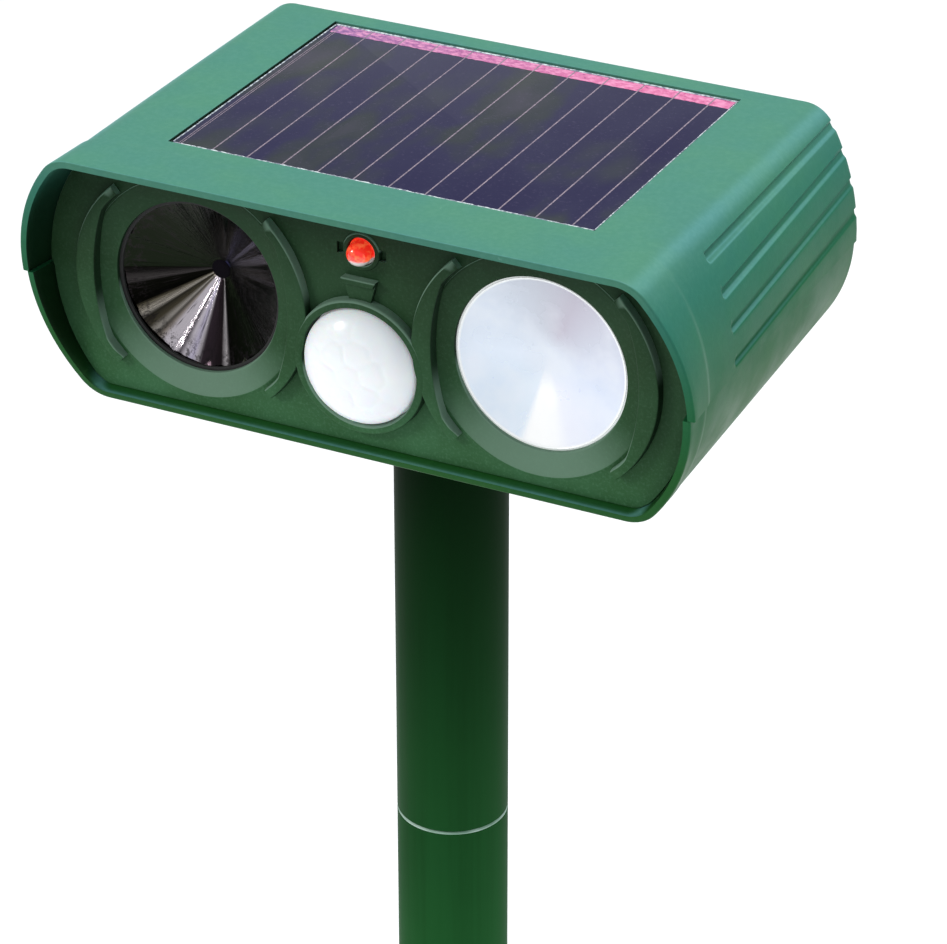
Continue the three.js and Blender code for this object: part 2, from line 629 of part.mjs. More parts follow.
function batteryDoor() {
  const { left, right, front, back, thickness } = DOOR;
  const floor = CASE_FLOOR;
  const sheet = block(left, right, front, back, floor, floor + thickness);
  const knuckle = ([x0, x1]) => {
    const barrel = rodX(BARREL_R, x0, x1, HINGE_Y, HINGE_Z);
    const arm = block(x0, x1, HINGE_Y, front + 6, HINGE_Z - 0.9, HINGE_Z + 1.6);
    const riser = block(x0, x1, front, front + 6, HINGE_Z, floor + 0.5);
    return join([barrel, arm, riser]);
  };
  const pull = block(-42, -32, back - 6, back - 4, floor - 1.2, floor + 0.5);
  const door = join([sheet, ...KNUCKLE_SPANS.map(knuckle), pull]);
  return door.subtract(rodX(PIN_R + GAP, -60, -15, HINGE_Y, HINGE_Z, 16));
}

const doorPin = () => rodX(PIN_R, -53, -21, HINGE_Y, HINGE_Z, 16);

// ---- Screws ------------------------------------------------------------------------------

// A pan-head screw with a cross recess, pointing up from the head's underside.
function caseScrew(x) {
  const seat = CASE_FLOOR + 0.5;
  const head = rodZ(2.8, seat, seat + 1.8, x, CASE_SCREW_Y);
  const shank = rodZ(1.4, seat + 1, SPLIT_Z + 12, x, CASE_SCREW_Y, 16);
  const slotA = block(x - 1.6, x + 1.6, CASE_SCREW_Y - 0.35, CASE_SCREW_Y + 0.35, seat - 1, seat + 0.9);
  const slotB = block(x - 0.35, x + 0.35, CASE_SCREW_Y - 1.6, CASE_SCREW_Y + 1.6, seat - 1, seat + 0.9);
  return cut(head.add(shank), [slotA, slotB]);
}

// The same screw, pointing forward through the rear panel.
function rearScrew(x, z) {
  const seat = REAR_BACK + 0.2;
  const head = rodY(2.8, seat, seat + 1.6, x, z);
  const shank = rodY(1.4, 32.5, seat + 1, x, z, 16);
  const slotA = block(x - 1.6, x + 1.6, seat + 0.8, seat + PAST, z - 0.35, z + 0.35);
  const slotB = block(x - 0.35, x + 0.35, seat + 0.8, seat + PAST, z - 1.6, z + 1.6);
  return cut(head.add(shank), [slotA, slotB]);
}

// ---- Pole --------------------------------------------------------------------------------

function upperTube() {
  const low = TUBE_JOINT_Z + GAP;
  const high = SOCKET_TOP - GAP;
  return turnedZ([
    [POLE_BORE, low], [POLE_R, low], [POLE_R, high - 1], [POLE_R - 1, high], [POLE_BORE, high],
    [POLE_BORE, low],
  ]);
}

function lowerTube() {
  const low = COLLAR_TOP + GAP;
  const shoulder = TUBE_JOINT_Z;
  const top = shoulder + SPIGOT_LENGTH;
  return turnedZ([
    [POLE_BORE, low], [POLE_R, low], [POLE_R, shoulder - SHOULDER_CHAMFER],
    [POLE_R - SHOULDER_CHAMFER, shoulder], [SPIGOT_R, shoulder], [SPIGOT_R, top - 1],
    [SPIGOT_R - 1, top], [SPIGOT_BORE, top], [SPIGOT_BORE, shoulder - 4],
    [POLE_BORE, shoulder - 6], [POLE_BORE, low],
  ]);
}

function blade(turn) {
  const tip = 1.2;
  const shape = new THREE.Shape();
  shape.moveTo(-BLADE_HALF_WIDTH, 1);
  shape.lineTo(-BLADE_HALF_WIDTH, SPIKE_TAPER_Z);
  shape.lineTo(-tip, SPIKE_TIP_Z);
  shape.lineTo(tip, SPIKE_TIP_Z);
  shape.lineTo(BLADE_HALF_WIDTH, SPIKE_TAPER_Z);
  shape.lineTo(BLADE_HALF_WIDTH, 1);
  const half = BLADE_THICKNESS / 2;
  const geometry = new THREE.ExtrudeGeometry(shape, { depth: 2 * half, bevelEnabled: false });
  return solid(geometry.rotateX(Math.PI / 2).translate(0, half, 0).rotateZ(turn));
}

function groundSpike() {
  const top = COLLAR_TOP + SPIGOT_LENGTH;
  const spigot = turnedZ([
    [0, 0], [COLLAR_R, 0], [COLLAR_R, COLLAR_TOP - 1], [COLLAR_R - 1, COLLAR_TOP],
    [SPIGOT_R, COLLAR_TOP], [SPIGOT_R, top - 1], [SPIGOT_R - 1, top],
    [SPIGOT_BORE, top], [SPIGOT_BORE, COLLAR_TOP], [0, COLLAR_TOP],
  ]);
  return join([spigot, blade(0), blade(Math.PI / 2)]);
}

// ---- The whole object --------------------------------------------------------------------

const repeller = new THREE.Group();

const pole = new THREE.Group();
pole.add(
  piece('ground_spike', groundSpike(), greenPole()),
  piece('lower_tube', lowerTube(), greenPole()),
  piece('upper_tube', upperTube(), greenPole()),
);

const housing = new THREE.Group();
housing.add(
  piece('top_shell', topShell(), greenShell()),
  piece('bottom_shell', bottomShell(), greenShell()),
  piece('front_panel', frontPanel(), greenPanel()),
  piece('rear_panel', rearPanel(), greenPanel()),
  piece('solar_panel', solarPanel(), solarGlass()),
  piece('case_screw_left', caseScrew(-CASE_SCREW_X), steel()),
  piece('case_screw_right', caseScrew(CASE_SCREW_X), steel()),
);
for (const [xName, x] of [['left', -REAR_SCREW_X], ['right', REAR_SCREW_X]]) {
  for (const [zName, rise] of [['upper', REAR_SCREW_RISE], ['lower', -REAR_SCREW_RISE]]) {
    housing.add(piece(`rear_screw_${zName}_${xName}`, rearScrew(x, HEAD_MID + rise), steel()));
  }
}

const sensing = new THREE.Group();
sensing.add(
  piece('speaker_seal', speakerSeal(), blackRubber()),
  piece('speaker_cone', speakerCone(), mirrorFilm()),
  piece('speaker_frame', speakerFrame(), blackPlastic()),
  piece('piezo_element', piezoElement(), brass()),
  piece('flash_lens', flashLens(), pearl()),
  piece('flash_reflector', flashReflector(), mirrorFilm()),
  piece('flash_led', flashLed(), whitePlastic()),
  piece('pir_dome', pirDome(), milkyPlastic()),
  piece('pir_sensor', pirSensor(), steel()),
  piece('status_led', statusLed(), redPlastic()),
  piece('sensor_board', sensorBoard(), circuitBoard()),
  piece('driver_chip', driverChip(), blackPlastic()),
);

const controls = new THREE.Group();
controls.add(
  piece('control_board', controlBoard(), circuitBoard()),
  piece('frequency_knob', knob(-KNOB_X), blackPlastic()),
  piece('sensitivity_knob', knob(KNOB_X), blackPlastic()),
  piece('frequency_potentiometer', potentiometer(-KNOB_X), steel()),
  piece('sensitivity_potentiometer', potentiometer(KNOB_X), steel()),
  piece('power_switch_body', powerSwitchBody(), steel()),
  piece('power_switch_slider', powerSwitchSlider(), blackPlastic()),
  piece('charge_jack', chargeJack(), blackPlastic()),
  piece('charge_port_plug', chargePortPlug(), blackRubber()),
);

const power = new THREE.Group();
CELL_XS.forEach((x, index) => {
  power.add(piece(`battery_${index + 1}`, battery(x), cellWrap()));
});
power.add(
  piece('battery_contacts_front', contactsFront(), steel()),
  piece('battery_contacts_rear', contactsRear(), steel()),
  piece('battery_door', batteryDoor(), greenShell()),
  piece('battery_door_pin', doorPin(), steel()),
);

repeller.add(pole, housing, sensing, controls, power);

export default repeller;
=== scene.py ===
"""Looks for a solar ultrasonic pest repeller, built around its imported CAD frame.

Lengths in this script are millimetres in the frame's axes until make() turns them into metres:
the origin is on the pole's axis at ground level, the head faces -Y and +Z is up.
"""

import math
import random

import bmesh
import bpy
from mathutils import Matrix, Vector, noise


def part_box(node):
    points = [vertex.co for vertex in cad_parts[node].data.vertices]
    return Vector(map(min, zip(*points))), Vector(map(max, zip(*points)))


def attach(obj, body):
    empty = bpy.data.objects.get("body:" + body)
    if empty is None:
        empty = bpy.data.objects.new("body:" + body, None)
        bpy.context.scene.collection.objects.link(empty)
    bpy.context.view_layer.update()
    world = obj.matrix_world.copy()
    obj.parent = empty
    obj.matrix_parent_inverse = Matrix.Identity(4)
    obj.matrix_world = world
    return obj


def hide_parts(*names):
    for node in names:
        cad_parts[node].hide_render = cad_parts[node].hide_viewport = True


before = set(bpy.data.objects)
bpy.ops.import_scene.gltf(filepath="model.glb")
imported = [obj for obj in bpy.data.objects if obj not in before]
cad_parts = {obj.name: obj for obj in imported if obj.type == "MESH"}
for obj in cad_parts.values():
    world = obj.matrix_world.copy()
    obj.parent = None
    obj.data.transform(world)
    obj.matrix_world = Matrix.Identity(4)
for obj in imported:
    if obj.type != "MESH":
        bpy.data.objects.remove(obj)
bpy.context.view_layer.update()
MM = 0.001


def node_box(node):
    """Lowest and highest corner of a CAD node, in millimetres."""
    low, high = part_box(node)
    return low / MM, high / MM


# ---- Where things are, from the CAD frame --------------------------------------------------

SHELL_LOW, SHELL_HIGH = node_box("top_shell")
PANEL_LOW, PANEL_HIGH = node_box("solar_panel")
PLATE_LOW, _ = node_box("front_panel")
REAR_LOW, REAR_HIGH = node_box("rear_panel")
CONE_LOW, CONE_HIGH = node_box("speaker_cone")
LENS_LOW, LENS_HIGH = node_box("flash_lens")
DOME_LOW, DOME_HIGH = node_box("pir_dome")
LED_LOW, LED_HIGH = node_box("status_led")
UPPER_LOW, UPPER_HIGH = node_box("upper_tube")
LOWER_LOW, LOWER_HIGH = node_box("lower_tube")
SPIKE_LOW, SPIKE_HIGH = node_box("ground_spike")
DOOR_LOW, DOOR_HIGH = node_box("battery_door")

HALF_HEIGHT = 28.15
HEAD_MID = SHELL_HIGH.z - HALF_HEIGHT
HALF_WIDTH = SHELL_HIGH.x
RIM_Y = SHELL_LOW.y  # the visor's front edge, at its top
LEAN = 0.172  # how far the front edge leans back for each millimetre down
BACK_Y = SHELL_HIGH.y
SPLIT = -0.5  # the parting line, about the head's middle
GAP = 0.3
EYE_X = (LENS_LOW.x + LENS_HIGH.x) / 2
EYE_Z = (LENS_LOW.z + LENS_HIGH.z) / 2
PIR_Z = (DOME_LOW.z + DOME_HIGH.z) / 2
LED_Z = (LED_LOW.z + LED_HIGH.z) / 2
PLATE_FRONT = -38.0
PLATE_BACK = -36.4
RIB_FRONT = PLATE_LOW.y
EYE_HOLE_R = 18.4
FLANGE_FRONT = -36.05  # the flanges behind the plate start here
RELIEF_BACK = -36.2  # the rings on the plate reach back to here
POLE_R = UPPER_HIGH.x


# ---- Camera --------------------------------------------------------------------------------

def add_camera():
    azimuth, elevation, roll = (math.radians(angle) for angle in (26.329, 28.647, 0.106))
    level = Vector((math.cos(azimuth), math.sin(azimuth), 0))
    back = Vector((
        math.sin(azimuth) * math.cos(elevation),
        -math.cos(azimuth) * math.cos(elevation),
        math.sin(elevation),
    ))
    steep = back.cross(level)
    right = level * math.cos(roll) + steep * math.sin(roll)
    up = steep * math.cos(roll) - level * math.sin(roll)
    data = bpy.data.cameras.new("camera")
    data.sensor_width = 36
    data.lens = 153.96
    data.shift_x = -0.0208
    data.shift_y = 0.0078
    data.clip_start = 0.01
    data.clip_end = 50
    camera = bpy.data.objects.new("camera", data)
    bpy.context.scene.collection.objects.link(camera)
    turn = Matrix((right, up, back)).transposed().to_4x4()
    camera.matrix_world = Matrix.Translation((0.33766, -0.66265, 0.60881)) @ turn
    bpy.context.scene.camera = camera


add_camera()


# ---- Node materials ------------------------------------------------------------------------

class Paint:
    """A Principled material, with short calls for the nodes that feed it."""

    def __init__(self, name, color=(0.5, 0.5, 0.5), roughness=0.5, **sockets):
        self.material = bpy.data.materials.new(name)
        self.material.use_nodes = True
        self.tree = self.material.node_tree
        self.tree.nodes.clear()
        self.shader = self.node("ShaderNodeBsdfPrincipled")
        output = self.node("ShaderNodeOutputMaterial")
        self.tree.links.new(self.shader.outputs["BSDF"], output.inputs["Surface"])
        self.shader.inputs["Base Color"].default_value = (*color, 1)
        self.shader.inputs["Roughness"].default_value = roughness
        for socket, value in sockets.items():
            self.shader.inputs[socket.replace("_", " ")].default_value = value
        self.material.diffuse_color = (*color, 1)
        coordinates = self.node("ShaderNodeTexCoord")
        self.place, self.normal = coordinates.outputs["Object"], coordinates.outputs["Normal"]

    def node(self, kind, **settings):
        made = self.tree.nodes.new(kind)
        for key, value in settings.items():
            setattr(made, key, value)
        return made

    def feed(self, socket, value):
        if isinstance(value, bpy.types.NodeSocket):
            self.tree.links.new(value, socket)
        else:
            socket.default_value = value

    def set(self, socket, value):
        self.feed(self.shader.inputs[socket], value)

    def stretched(self, scale, offset=(0, 0, 0)):
        mapping = self.node("ShaderNodeMapping")
        self.feed(mapping.inputs["Vector"], self.place)
        mapping.inputs["Scale"].default_value = scale
        mapping.inputs["Location"].default_value = offset
        return mapping.outputs["Vector"]

    def noise(self, scale, detail=2.0, rough=0.5, vector=None):
        made = self.node("ShaderNodeTexNoise")
        self.feed(made.inputs["Vector"], self.place if vector is None else vector)
        for socket, number in (("Scale", scale), ("Detail", detail), ("Roughness", rough)):
            made.inputs[socket].default_value = number
        return made.outputs[0]

    def axis(self, name, vector=None):
        split = self.node("ShaderNodeSeparateXYZ")
        self.feed(split.inputs[0], self.place if vector is None else vector)
        return split.outputs[name]

    def math(self, operation, a, b=0.0):
        made = self.node("ShaderNodeMath", operation=operation)
        self.feed(made.inputs[0], a)
        self.feed(made.inputs[1], b)
        return made.outputs[0]

    def plus(self, a, b):
        return self.math("ADD", a, b)

    def times(self, a, b):
        return self.math("MULTIPLY", a, b)

    def span(self, value, low, high, to_low=0.0, to_high=1.0, smooth=True):
        made = self.node("ShaderNodeMapRange")
        made.interpolation_type = "SMOOTHSTEP" if smooth else "LINEAR"
        self.feed(made.inputs["Value"], value)
        for socket, number in zip(
            ("From Min", "From Max", "To Min", "To Max"), (low, high, to_low, to_high)
        ):
            made.inputs[socket].default_value = number
        return made.outputs[0]

    def ramp(self, value, stops):
        made = self.node("ShaderNodeValToRGB")
        self.feed(made.inputs[0], value)
        elements = made.color_ramp.elements
        while len(elements) > 1:
            elements.remove(elements[-1])
        elements[0].position = stops[0][0]
        elements[0].color = (*stops[0][1], 1)
        for position, color in stops[1:]:
            elements.new(position).color = (*color, 1)
        return made.outputs[0]

    def mix(self, factor, a, b, blend="MIX"):
        made = self.node("ShaderNodeMix", data_type="RGBA", blend_type=blend)
        for socket, value in ((made.inputs[0], factor), (made.inputs[6], a), (made.inputs[7], b)):
            self.feed(socket, (*value, 1) if isinstance(value, tuple) else value)
        return made.outputs[2]

    def tint(self, tone, source, low, high, color, amount=1.0, blend="MIX"):
        """The tone, taken towards a colour as the source goes from low to high."""
        return self.mix(self.span(source, low, high, 0.0, amount), tone, color, blend)

    def finish(self, tone, patch, rough, height, strength, distance, limits=(0.3, 0.7)):
        """Sets colour, a roughness that follows a patchy source, and grain; the material."""
        self.set("Base Color", tone)
        self.set("Roughness", self.span(patch, *limits, *rough))
        made = self.node("ShaderNodeBump")
        made.inputs["Strength"].default_value = strength
        made.inputs["Distance"].default_value = distance
        self.feed(made.inputs["Height"], height)
        self.set("Normal", made.outputs[0])
        return self.material


def grey(value):
    return (value, value, value)


def shell_green():
    """Satin green ABS, with painted light: a height ramp paints reflected grass low down and paler
    sky-lit blue above, a painted sheen on its shoulders and painted shade on its inner side walls.
    """
    paint = Paint("shell_green", (0.03, 0.2, 0.1), 0.45, Specular_IOR_Level=0.1)
    # Painted light: darker and grassier low down, paler and bluer high up, standing in for
    # reflected grass and sky.
    tone = paint.ramp(paint.span(paint.axis("Z"), 0.227, 0.283, smooth=False), [
        (0.0, (0.013, 0.090, 0.018)), (0.25, (0.009, 0.094, 0.018)), (0.5, (0.010, 0.116, 0.044)),
        (0.85, (0.028, 0.170, 0.120)), (1.0, (0.062, 0.220, 0.166)),
    ])
    sideways, upward = paint.axis("X", paint.normal), paint.axis("Z", paint.normal)
    # Painted sheen: faces tilted upward, on the shoulders, the grooves' lower walls and the lip's
    # edges, are taken paler and bluer.
    shoulder = paint.times(paint.span(upward, 0.54, 0.84, 0.0, 0.6),
                           paint.span(upward, 0.985, 0.85))
    tone = paint.mix(shoulder, tone, (0.110, 0.320, 0.310))
    cloud = paint.noise(42, 4, 0.6)
    speck = paint.noise(900, 2, 0.6)
    scuff = paint.noise(260, 3, 0.7, paint.stretched((1, 0.25, 1)))
    for source, low, high, color in (
        (cloud, 0.35, 0.7, (1.12, 1.06, 0.92)), (speck, 0.35, 0.75, (1.15, 1.07, 1.08)),
        (scuff, 0.70, 0.78, (1.9, 1.35, 1.5)),
    ):
        tone = paint.tint(tone, source, low, high, color, blend="MULTIPLY")
    # Painted shade: the visor's inner side walls are taken almost black.
    rise = paint.math("SUBTRACT", paint.axis("Z"), HEAD_MID * MM)
    outward = paint.plus(paint.times(sideways, paint.axis("X")), paint.times(upward, rise))
    painted_wall_shade = paint.times(paint.span(outward, 0.0, -0.004),
                       paint.span(paint.math("ABSOLUTE", sideways), 0.5, 0.95, 0.0, 0.93))
    tone = paint.mix(painted_wall_shade, tone, (0.002, 0.008, 0.002))
    grain = paint.plus(paint.noise(2600, 2), paint.times(cloud, 0.6))
    return paint.finish(tone, paint.noise(70, 3, 0.6), (0.36, 0.50), grain, 0.22, 0.00009,
                        (0.3, 0.75))


def plate_green():
    """Matte dark green face plate with a fine sand texture, with painted light: lighter low down,
    darker under the visor, dark on steep walls and paler where it looks upward.
    """
    paint = Paint("plate_green", (0.03, 0.08, 0.035), 0.6, Specular_IOR_Level=0.12)
    cloud = paint.noise(60, 3, 0.6)
    tone = paint.tint((0.024, 0.074, 0.028), cloud, 0.3, 0.7, (0.036, 0.100, 0.046))
    tone = paint.tint(tone, paint.noise(1500, 2, 0.7), 0.45, 0.8, (0.08, 0.17, 0.10), 0.35)
    # Painted light and shade by height: lighter low down, darker at the top in the visor's shadow.
    shade = paint.ramp(paint.span(paint.axis("Z"), 0.230, 0.280, smooth=False), [
        (0.0, (1.5, 1.7, 1.6)), (0.3, (0.85, 0.95, 0.85)), (0.6, (0.75, 0.75, 0.7)),
        (1.0, (0.35, 0.38, 0.36)),
    ])
    tone = paint.mix(1.0, tone, shade, "MULTIPLY")
    # Painted shade: steep walls, such as the crescents' sides, the notches and the ring edges, are
    # taken dark.
    level = paint.math("ABSOLUTE", paint.axis("Y", paint.normal))
    tone = paint.tint(tone, level, 0.80, 0.45, (0.004, 0.014, 0.006), 0.75)
    # Painted light: faces that look upward, such as the lower part of each eye's bevel, are taken
    # paler.
    tone = paint.tint(tone, paint.axis("Z", paint.normal), 0.08, 0.25, (0.19, 0.31, 0.23), 0.75)
    return paint.finish(tone, cloud, (0.52, 0.66), paint.noise(2200, 3, 0.7), 0.35, 0.00014)


def pole_green():
    """Dark green drawn tube: faint streaks run along it, with a few lighter scuffs and painted
    shadow towards the head.
    """
    paint = Paint("pole_green", (0.01, 0.08, 0.02), 0.55, Specular_IOR_Level=0.03)
    streak = paint.noise(240, 4, 0.6, paint.stretched((1, 1, 0.02)))
    tone = paint.tint((0.009, 0.072, 0.015), streak, 0.3, 0.7, (0.016, 0.110, 0.028))
    tone = paint.tint(tone, paint.noise(25, 3, 0.5), 0.35, 0.7, (0.016, 0.115, 0.026), 0.6)
    scuff = paint.noise(500, 3, 0.7, paint.stretched((1, 1, 0.15)))
    tone = paint.tint(tone, scuff, 0.70, 0.80, (0.06, 0.20, 0.08), 0.35)
    # Painted shadow: the tube goes almost black towards the head above it.
    tone = paint.tint((0.001, 0.012, 0.002), paint.axis("Z"), 0.228, 0.05, tone)
    grain = paint.plus(paint.noise(1800, 2), paint.times(streak, 1.4))
    return paint.finish(tone, streak, (0.48, 0.62), grain, 0.18, 0.00008, (0.3, 0.75))


def solar_film():
    """Dark indigo thin film under clear resin, with cloudy violet and olive reflections."""
    paint = Paint("solar_film", (0.03, 0.025, 0.07), 0.2, Specular_IOR_Level=0.25,
                  Coat_Weight=0.1)
    cloud = paint.noise(34, 3, 0.55, paint.stretched((1.3, 0.6, 1)))
    tone = paint.ramp(cloud, [
        (0.30, (0.012, 0.010, 0.050)), (0.48, (0.017, 0.016, 0.056)),
        (0.56, (0.022, 0.028, 0.036)), (0.70, (0.042, 0.040, 0.060)),
    ])
    olive = paint.noise(55, 2, 0.5, paint.stretched((1, 0.5, 1), (0.4, 0.1, 0)))
    tone = paint.tint(tone, olive, 0.55, 0.75, (0.040, 0.050, 0.040), 0.5)
    tone = paint.tint(tone, paint.noise(1400, 2, 0.6), 0.55, 0.85, (0.11, 0.09, 0.16), 0.3)
    return paint.finish(tone, cloud, (0.14, 0.3), paint.noise(300, 2), 0.05, 0.00005)


def solar_line():
    """Thin printed silver conductors, a little broken up."""
    paint = Paint("solar_line", (0.45, 0.36, 0.42), 0.45, Metallic=0.3)
    wear = paint.noise(1200, 3, 0.7)
    tone = paint.tint((0.20, 0.16, 0.21), wear, 0.35, 0.65, (0.33, 0.26, 0.31))
    return paint.finish(tone, wear, (0.35, 0.6), wear, 0.2, 0.00003)


def solar_foil():
    """Pink back contact: crumpled foil that goes from mauve on the left to rose on the right."""
    paint = Paint("solar_foil", (0.7, 0.2, 0.42), 0.35, Metallic=0.25)
    along = paint.span(paint.axis("X"), -0.046, 0.02, smooth=False)
    tone = paint.mix(along, (0.26, 0.12, 0.34), (0.74, 0.16, 0.36))
    crumple = paint.noise(700, 4, 0.75, paint.stretched((1, 1.6, 1)))
    tone = paint.tint(tone, crumple, 0.42, 0.62, (0.85, 0.36, 0.56), 0.75)
    tone = paint.tint(tone, crumple, 0.42, 0.30, (0.30, 0.07, 0.22), 0.8)
    return paint.finish(tone, crumple, (0.25, 0.5), crumple, 0.6, 0.0002)


def solar_edge():
    """The resin's cut edge: silvery, with sparkling chips."""
    paint = Paint("solar_edge", (0.6, 0.68, 0.68), 0.3, Metallic=0.2)
    chips = paint.noise(900, 3, 0.8)
    tone = paint.tint((0.16, 0.18, 0.24), chips, 0.42, 0.60, (0.80, 0.88, 0.90))
    return paint.finish(tone, chips, (0.5, 0.15), chips, 0.6, 0.0002, (0.4, 0.6))


def polar(paint, x, z):
    """(angle from 0 to 1 anticlockwise as seen from the front, radius in metres); -X is 0."""
    across = paint.math("SUBTRACT", paint.axis("X"), x * MM)
    rise = paint.math("SUBTRACT", paint.axis("Z"), z * MM)
    turn = paint.math("ARCTAN2", rise, across)
    angle = paint.plus(paint.math("DIVIDE", turn, 2 * math.pi), 0.5)
    return angle, paint.math("SQRT", paint.plus(paint.times(across, across),
                                                paint.times(rise, rise)))


def horn_mirror():
    """Vacuum-coated film on a creased cone, with painted reflections: smoky dark, with bright
    silver pleats painted low down.
    """
    paint = Paint("horn_mirror", (0.05, 0.05, 0.05), 0.1, Metallic=1.0)
    angle, radius = polar(paint, -EYE_X, EYE_Z)
    black, smoke, silver = (0.004, 0.004, 0.003), (0.045, 0.04, 0.04), (0.95, 0.86, 0.92)
    bronze = (0.10, 0.085, 0.055)
    # Painted reflections: the ramp round the cone paints bright silver and bronze glints low down
    # on the left and dark reflections elsewhere.
    tone = paint.ramp(angle, [
        (0.000, black), (0.030, smoke), (0.034, black), (0.075, black),
        (0.080, bronze), (0.098, (0.42, 0.38, 0.33)), (0.104, (0.03, 0.027, 0.02)),
        (0.122, bronze), (0.135, (0.55, 0.50, 0.45)), (0.142, (0.05, 0.045, 0.035)),
        (0.150, (0.45, 0.38, 0.33)), (0.160, silver), (0.190, silver), (0.196, (0.10, 0.08, 0.10)),
        (0.206, silver), (0.222, (0.80, 0.72, 0.92)), (0.232, (0.75, 0.68, 0.72)),
        (0.240, (0.05, 0.035, 0.045)), (0.285, (0.02, 0.014, 0.016)),
        (0.296, (0.60, 0.55, 0.56)), (0.302, black), (0.37, (0.008, 0.012, 0.006)),
        (0.40, black), (0.55, black), (0.66, (0.02, 0.02, 0.06)), (0.675, black),
        (0.74, black), (0.76, (0.015, 0.018, 0.012)), (0.98, (0.01, 0.014, 0.008)),
    ])
    streak = paint.node("ShaderNodeCombineXYZ")
    paint.feed(streak.inputs[0], paint.times(angle, 60.0))
    paint.feed(streak.inputs[1], paint.times(radius, 90.0))
    lines = paint.noise(1.6, 4, 0.7, streak.outputs[0])
    tone = paint.tint(tone, lines, 0.45, 0.34, (0.02, 0.016, 0.018), 0.65)
    edge = paint.times(paint.span(radius, 0.0125, 0.0172),
                       paint.span(paint.noise(800, 4, 0.8), 0.50, 0.58))
    tone = paint.mix(paint.times(edge, 0.7), tone, (0.022, 0.018, 0.02))
    return paint.finish(tone, lines, (0.06, 0.2), lines, 0.4, 0.0003)


def pearl():
    """Pearly satin dish, with painted light: a bright reflected lobe low in the middle, blue-grey
    above, rosy at upper right, a painted highlight round its rim and a faint glow.
    """
    # Painted light: a faint glow (Emission), coloured like the tone, brightens the dish.
    paint = Paint("pearl", (0.8, 0.82, 0.86), 0.3, Metallic=0.1, Coat_Weight=0.3,
                  Coat_Roughness=0.12, Emission_Strength=0.25)
    angle, radius = polar(paint, EYE_X, EYE_Z)
    # Painted reflection: the ramp round the dish paints a bright white lobe low down and cooler,
    # darker tones elsewhere.
    tone = paint.ramp(angle, [
        (0.00, (0.72, 0.79, 0.90)), (0.12, (0.66, 0.75, 0.86)), (0.205, (0.74, 0.82, 0.92)),
        (0.222, (1.0, 1.0, 1.0)), (0.278, (1.0, 1.0, 1.0)), (0.31, (0.84, 0.86, 0.96)),
        (0.45, (0.66, 0.72, 0.86)), (0.58, (0.58, 0.60, 0.70)), (0.68, (0.50, 0.47, 0.56)),
        (0.76, (0.54, 0.56, 0.64)), (0.88, (0.62, 0.68, 0.78)), (1.00, (0.72, 0.79, 0.90)),
    ])
    tone = paint.tint((0.70, 0.75, 0.84), radius, 0.0008, 0.008, tone)
    cloud = paint.noise(120, 3, 0.5)
    tone = paint.tint(tone, cloud, 0.4, 0.7, (0.86, 0.88, 0.94), 0.35)
    # Painted highlight: a pale ring along the rolled rim.
    tone = paint.tint(tone, radius, 0.0174, 0.0179, (0.95, 0.97, 0.97))
    paint.set("Emission Color", tone)
    return paint.finish(tone, cloud, (0.24, 0.36), paint.noise(1500, 2), 0.08, 0.00005)


def milky():
    """Milky polyethylene dome, waxy, with the faintest lilac in its cells and a faint painted glow.
    """
    # Painted light: a faint white glow (Emission) brightens the dome.
    paint = Paint("milky", (0.95, 0.95, 0.97), 0.32, Subsurface_Weight=0.35,
                  Subsurface_Scale=0.003, Coat_Weight=0.2,
                  Emission_Color=(0.93, 0.96, 1.0, 1), Emission_Strength=0.18)
    cloud = paint.noise(150, 3, 0.6)
    tone = paint.tint((0.97, 0.97, 1.0), cloud, 0.35, 0.75, (0.88, 0.87, 0.97))
    return paint.finish(tone, cloud, (0.26, 0.4), cloud, 0.2, 0.0003)


def led_red():
    """Red tinted epoxy: lit from inside towards its tip, with a painted silvery reflection at the
    bottom.
    """
    paint = Paint("led_red", (0.85, 0.03, 0.01), 0.12, Coat_Weight=1.0, Coat_Roughness=0.04,
                  Emission_Strength=0.75)
    rise = paint.math("SUBTRACT", paint.axis("Z"), LED_Z * MM)
    cloud = paint.noise(700, 2, 0.6)
    wobble = paint.plus(rise, paint.times(cloud, 0.0008))
    red = paint.tint((0.85, 0.020, 0.010), cloud, 0.45, 0.7, (1.0, 0.13, 0.04))
    low = paint.span(wobble, -0.0001, -0.0008)
    paint.set("Emission Color", paint.mix(low, red, (0.10, 0.08, 0.08)))
    # Painted reflection: the base colour is taken pale and silvery at the bottom of the dome.
    clear = paint.mix(low, red, (0.75, 0.72, 0.70))
    return paint.finish(clear, cloud, (0.08, 0.16), cloud, 0.1, 0.0002)


def speckled(name, dark, light, roughness, grain, strength=0.2, **sockets):
    """A moulded or metal finish: two close tones in soft patches, with a fine grain."""
    paint = Paint(name, light, roughness, **sockets)
    patch = paint.noise(90, 3, 0.6)
    fine = paint.noise(grain, 3, 0.7)
    bright = tuple(min(1.0, 1.8 * part + 0.02) for part in light)
    tone = paint.tint(paint.tint(dark, patch, 0.3, 0.7, light), fine, 0.62, 0.8, bright, 0.4)
    return paint.finish(tone, patch, (roughness - 0.07, roughness + 0.07), fine, strength, 0.0001)


def brushed(name, dark, light, roughness, direction):
    """Bright metal with fine drawn lines along one direction."""
    paint = Paint(name, light, roughness, Metallic=1.0)
    lines = paint.noise(1500, 3, 0.6, paint.stretched(direction))
    tone = paint.tint(dark, lines, 0.3, 0.7, light)
    return paint.finish(tone, lines, (roughness - 0.08, roughness + 0.1), lines, 0.15, 0.00005)


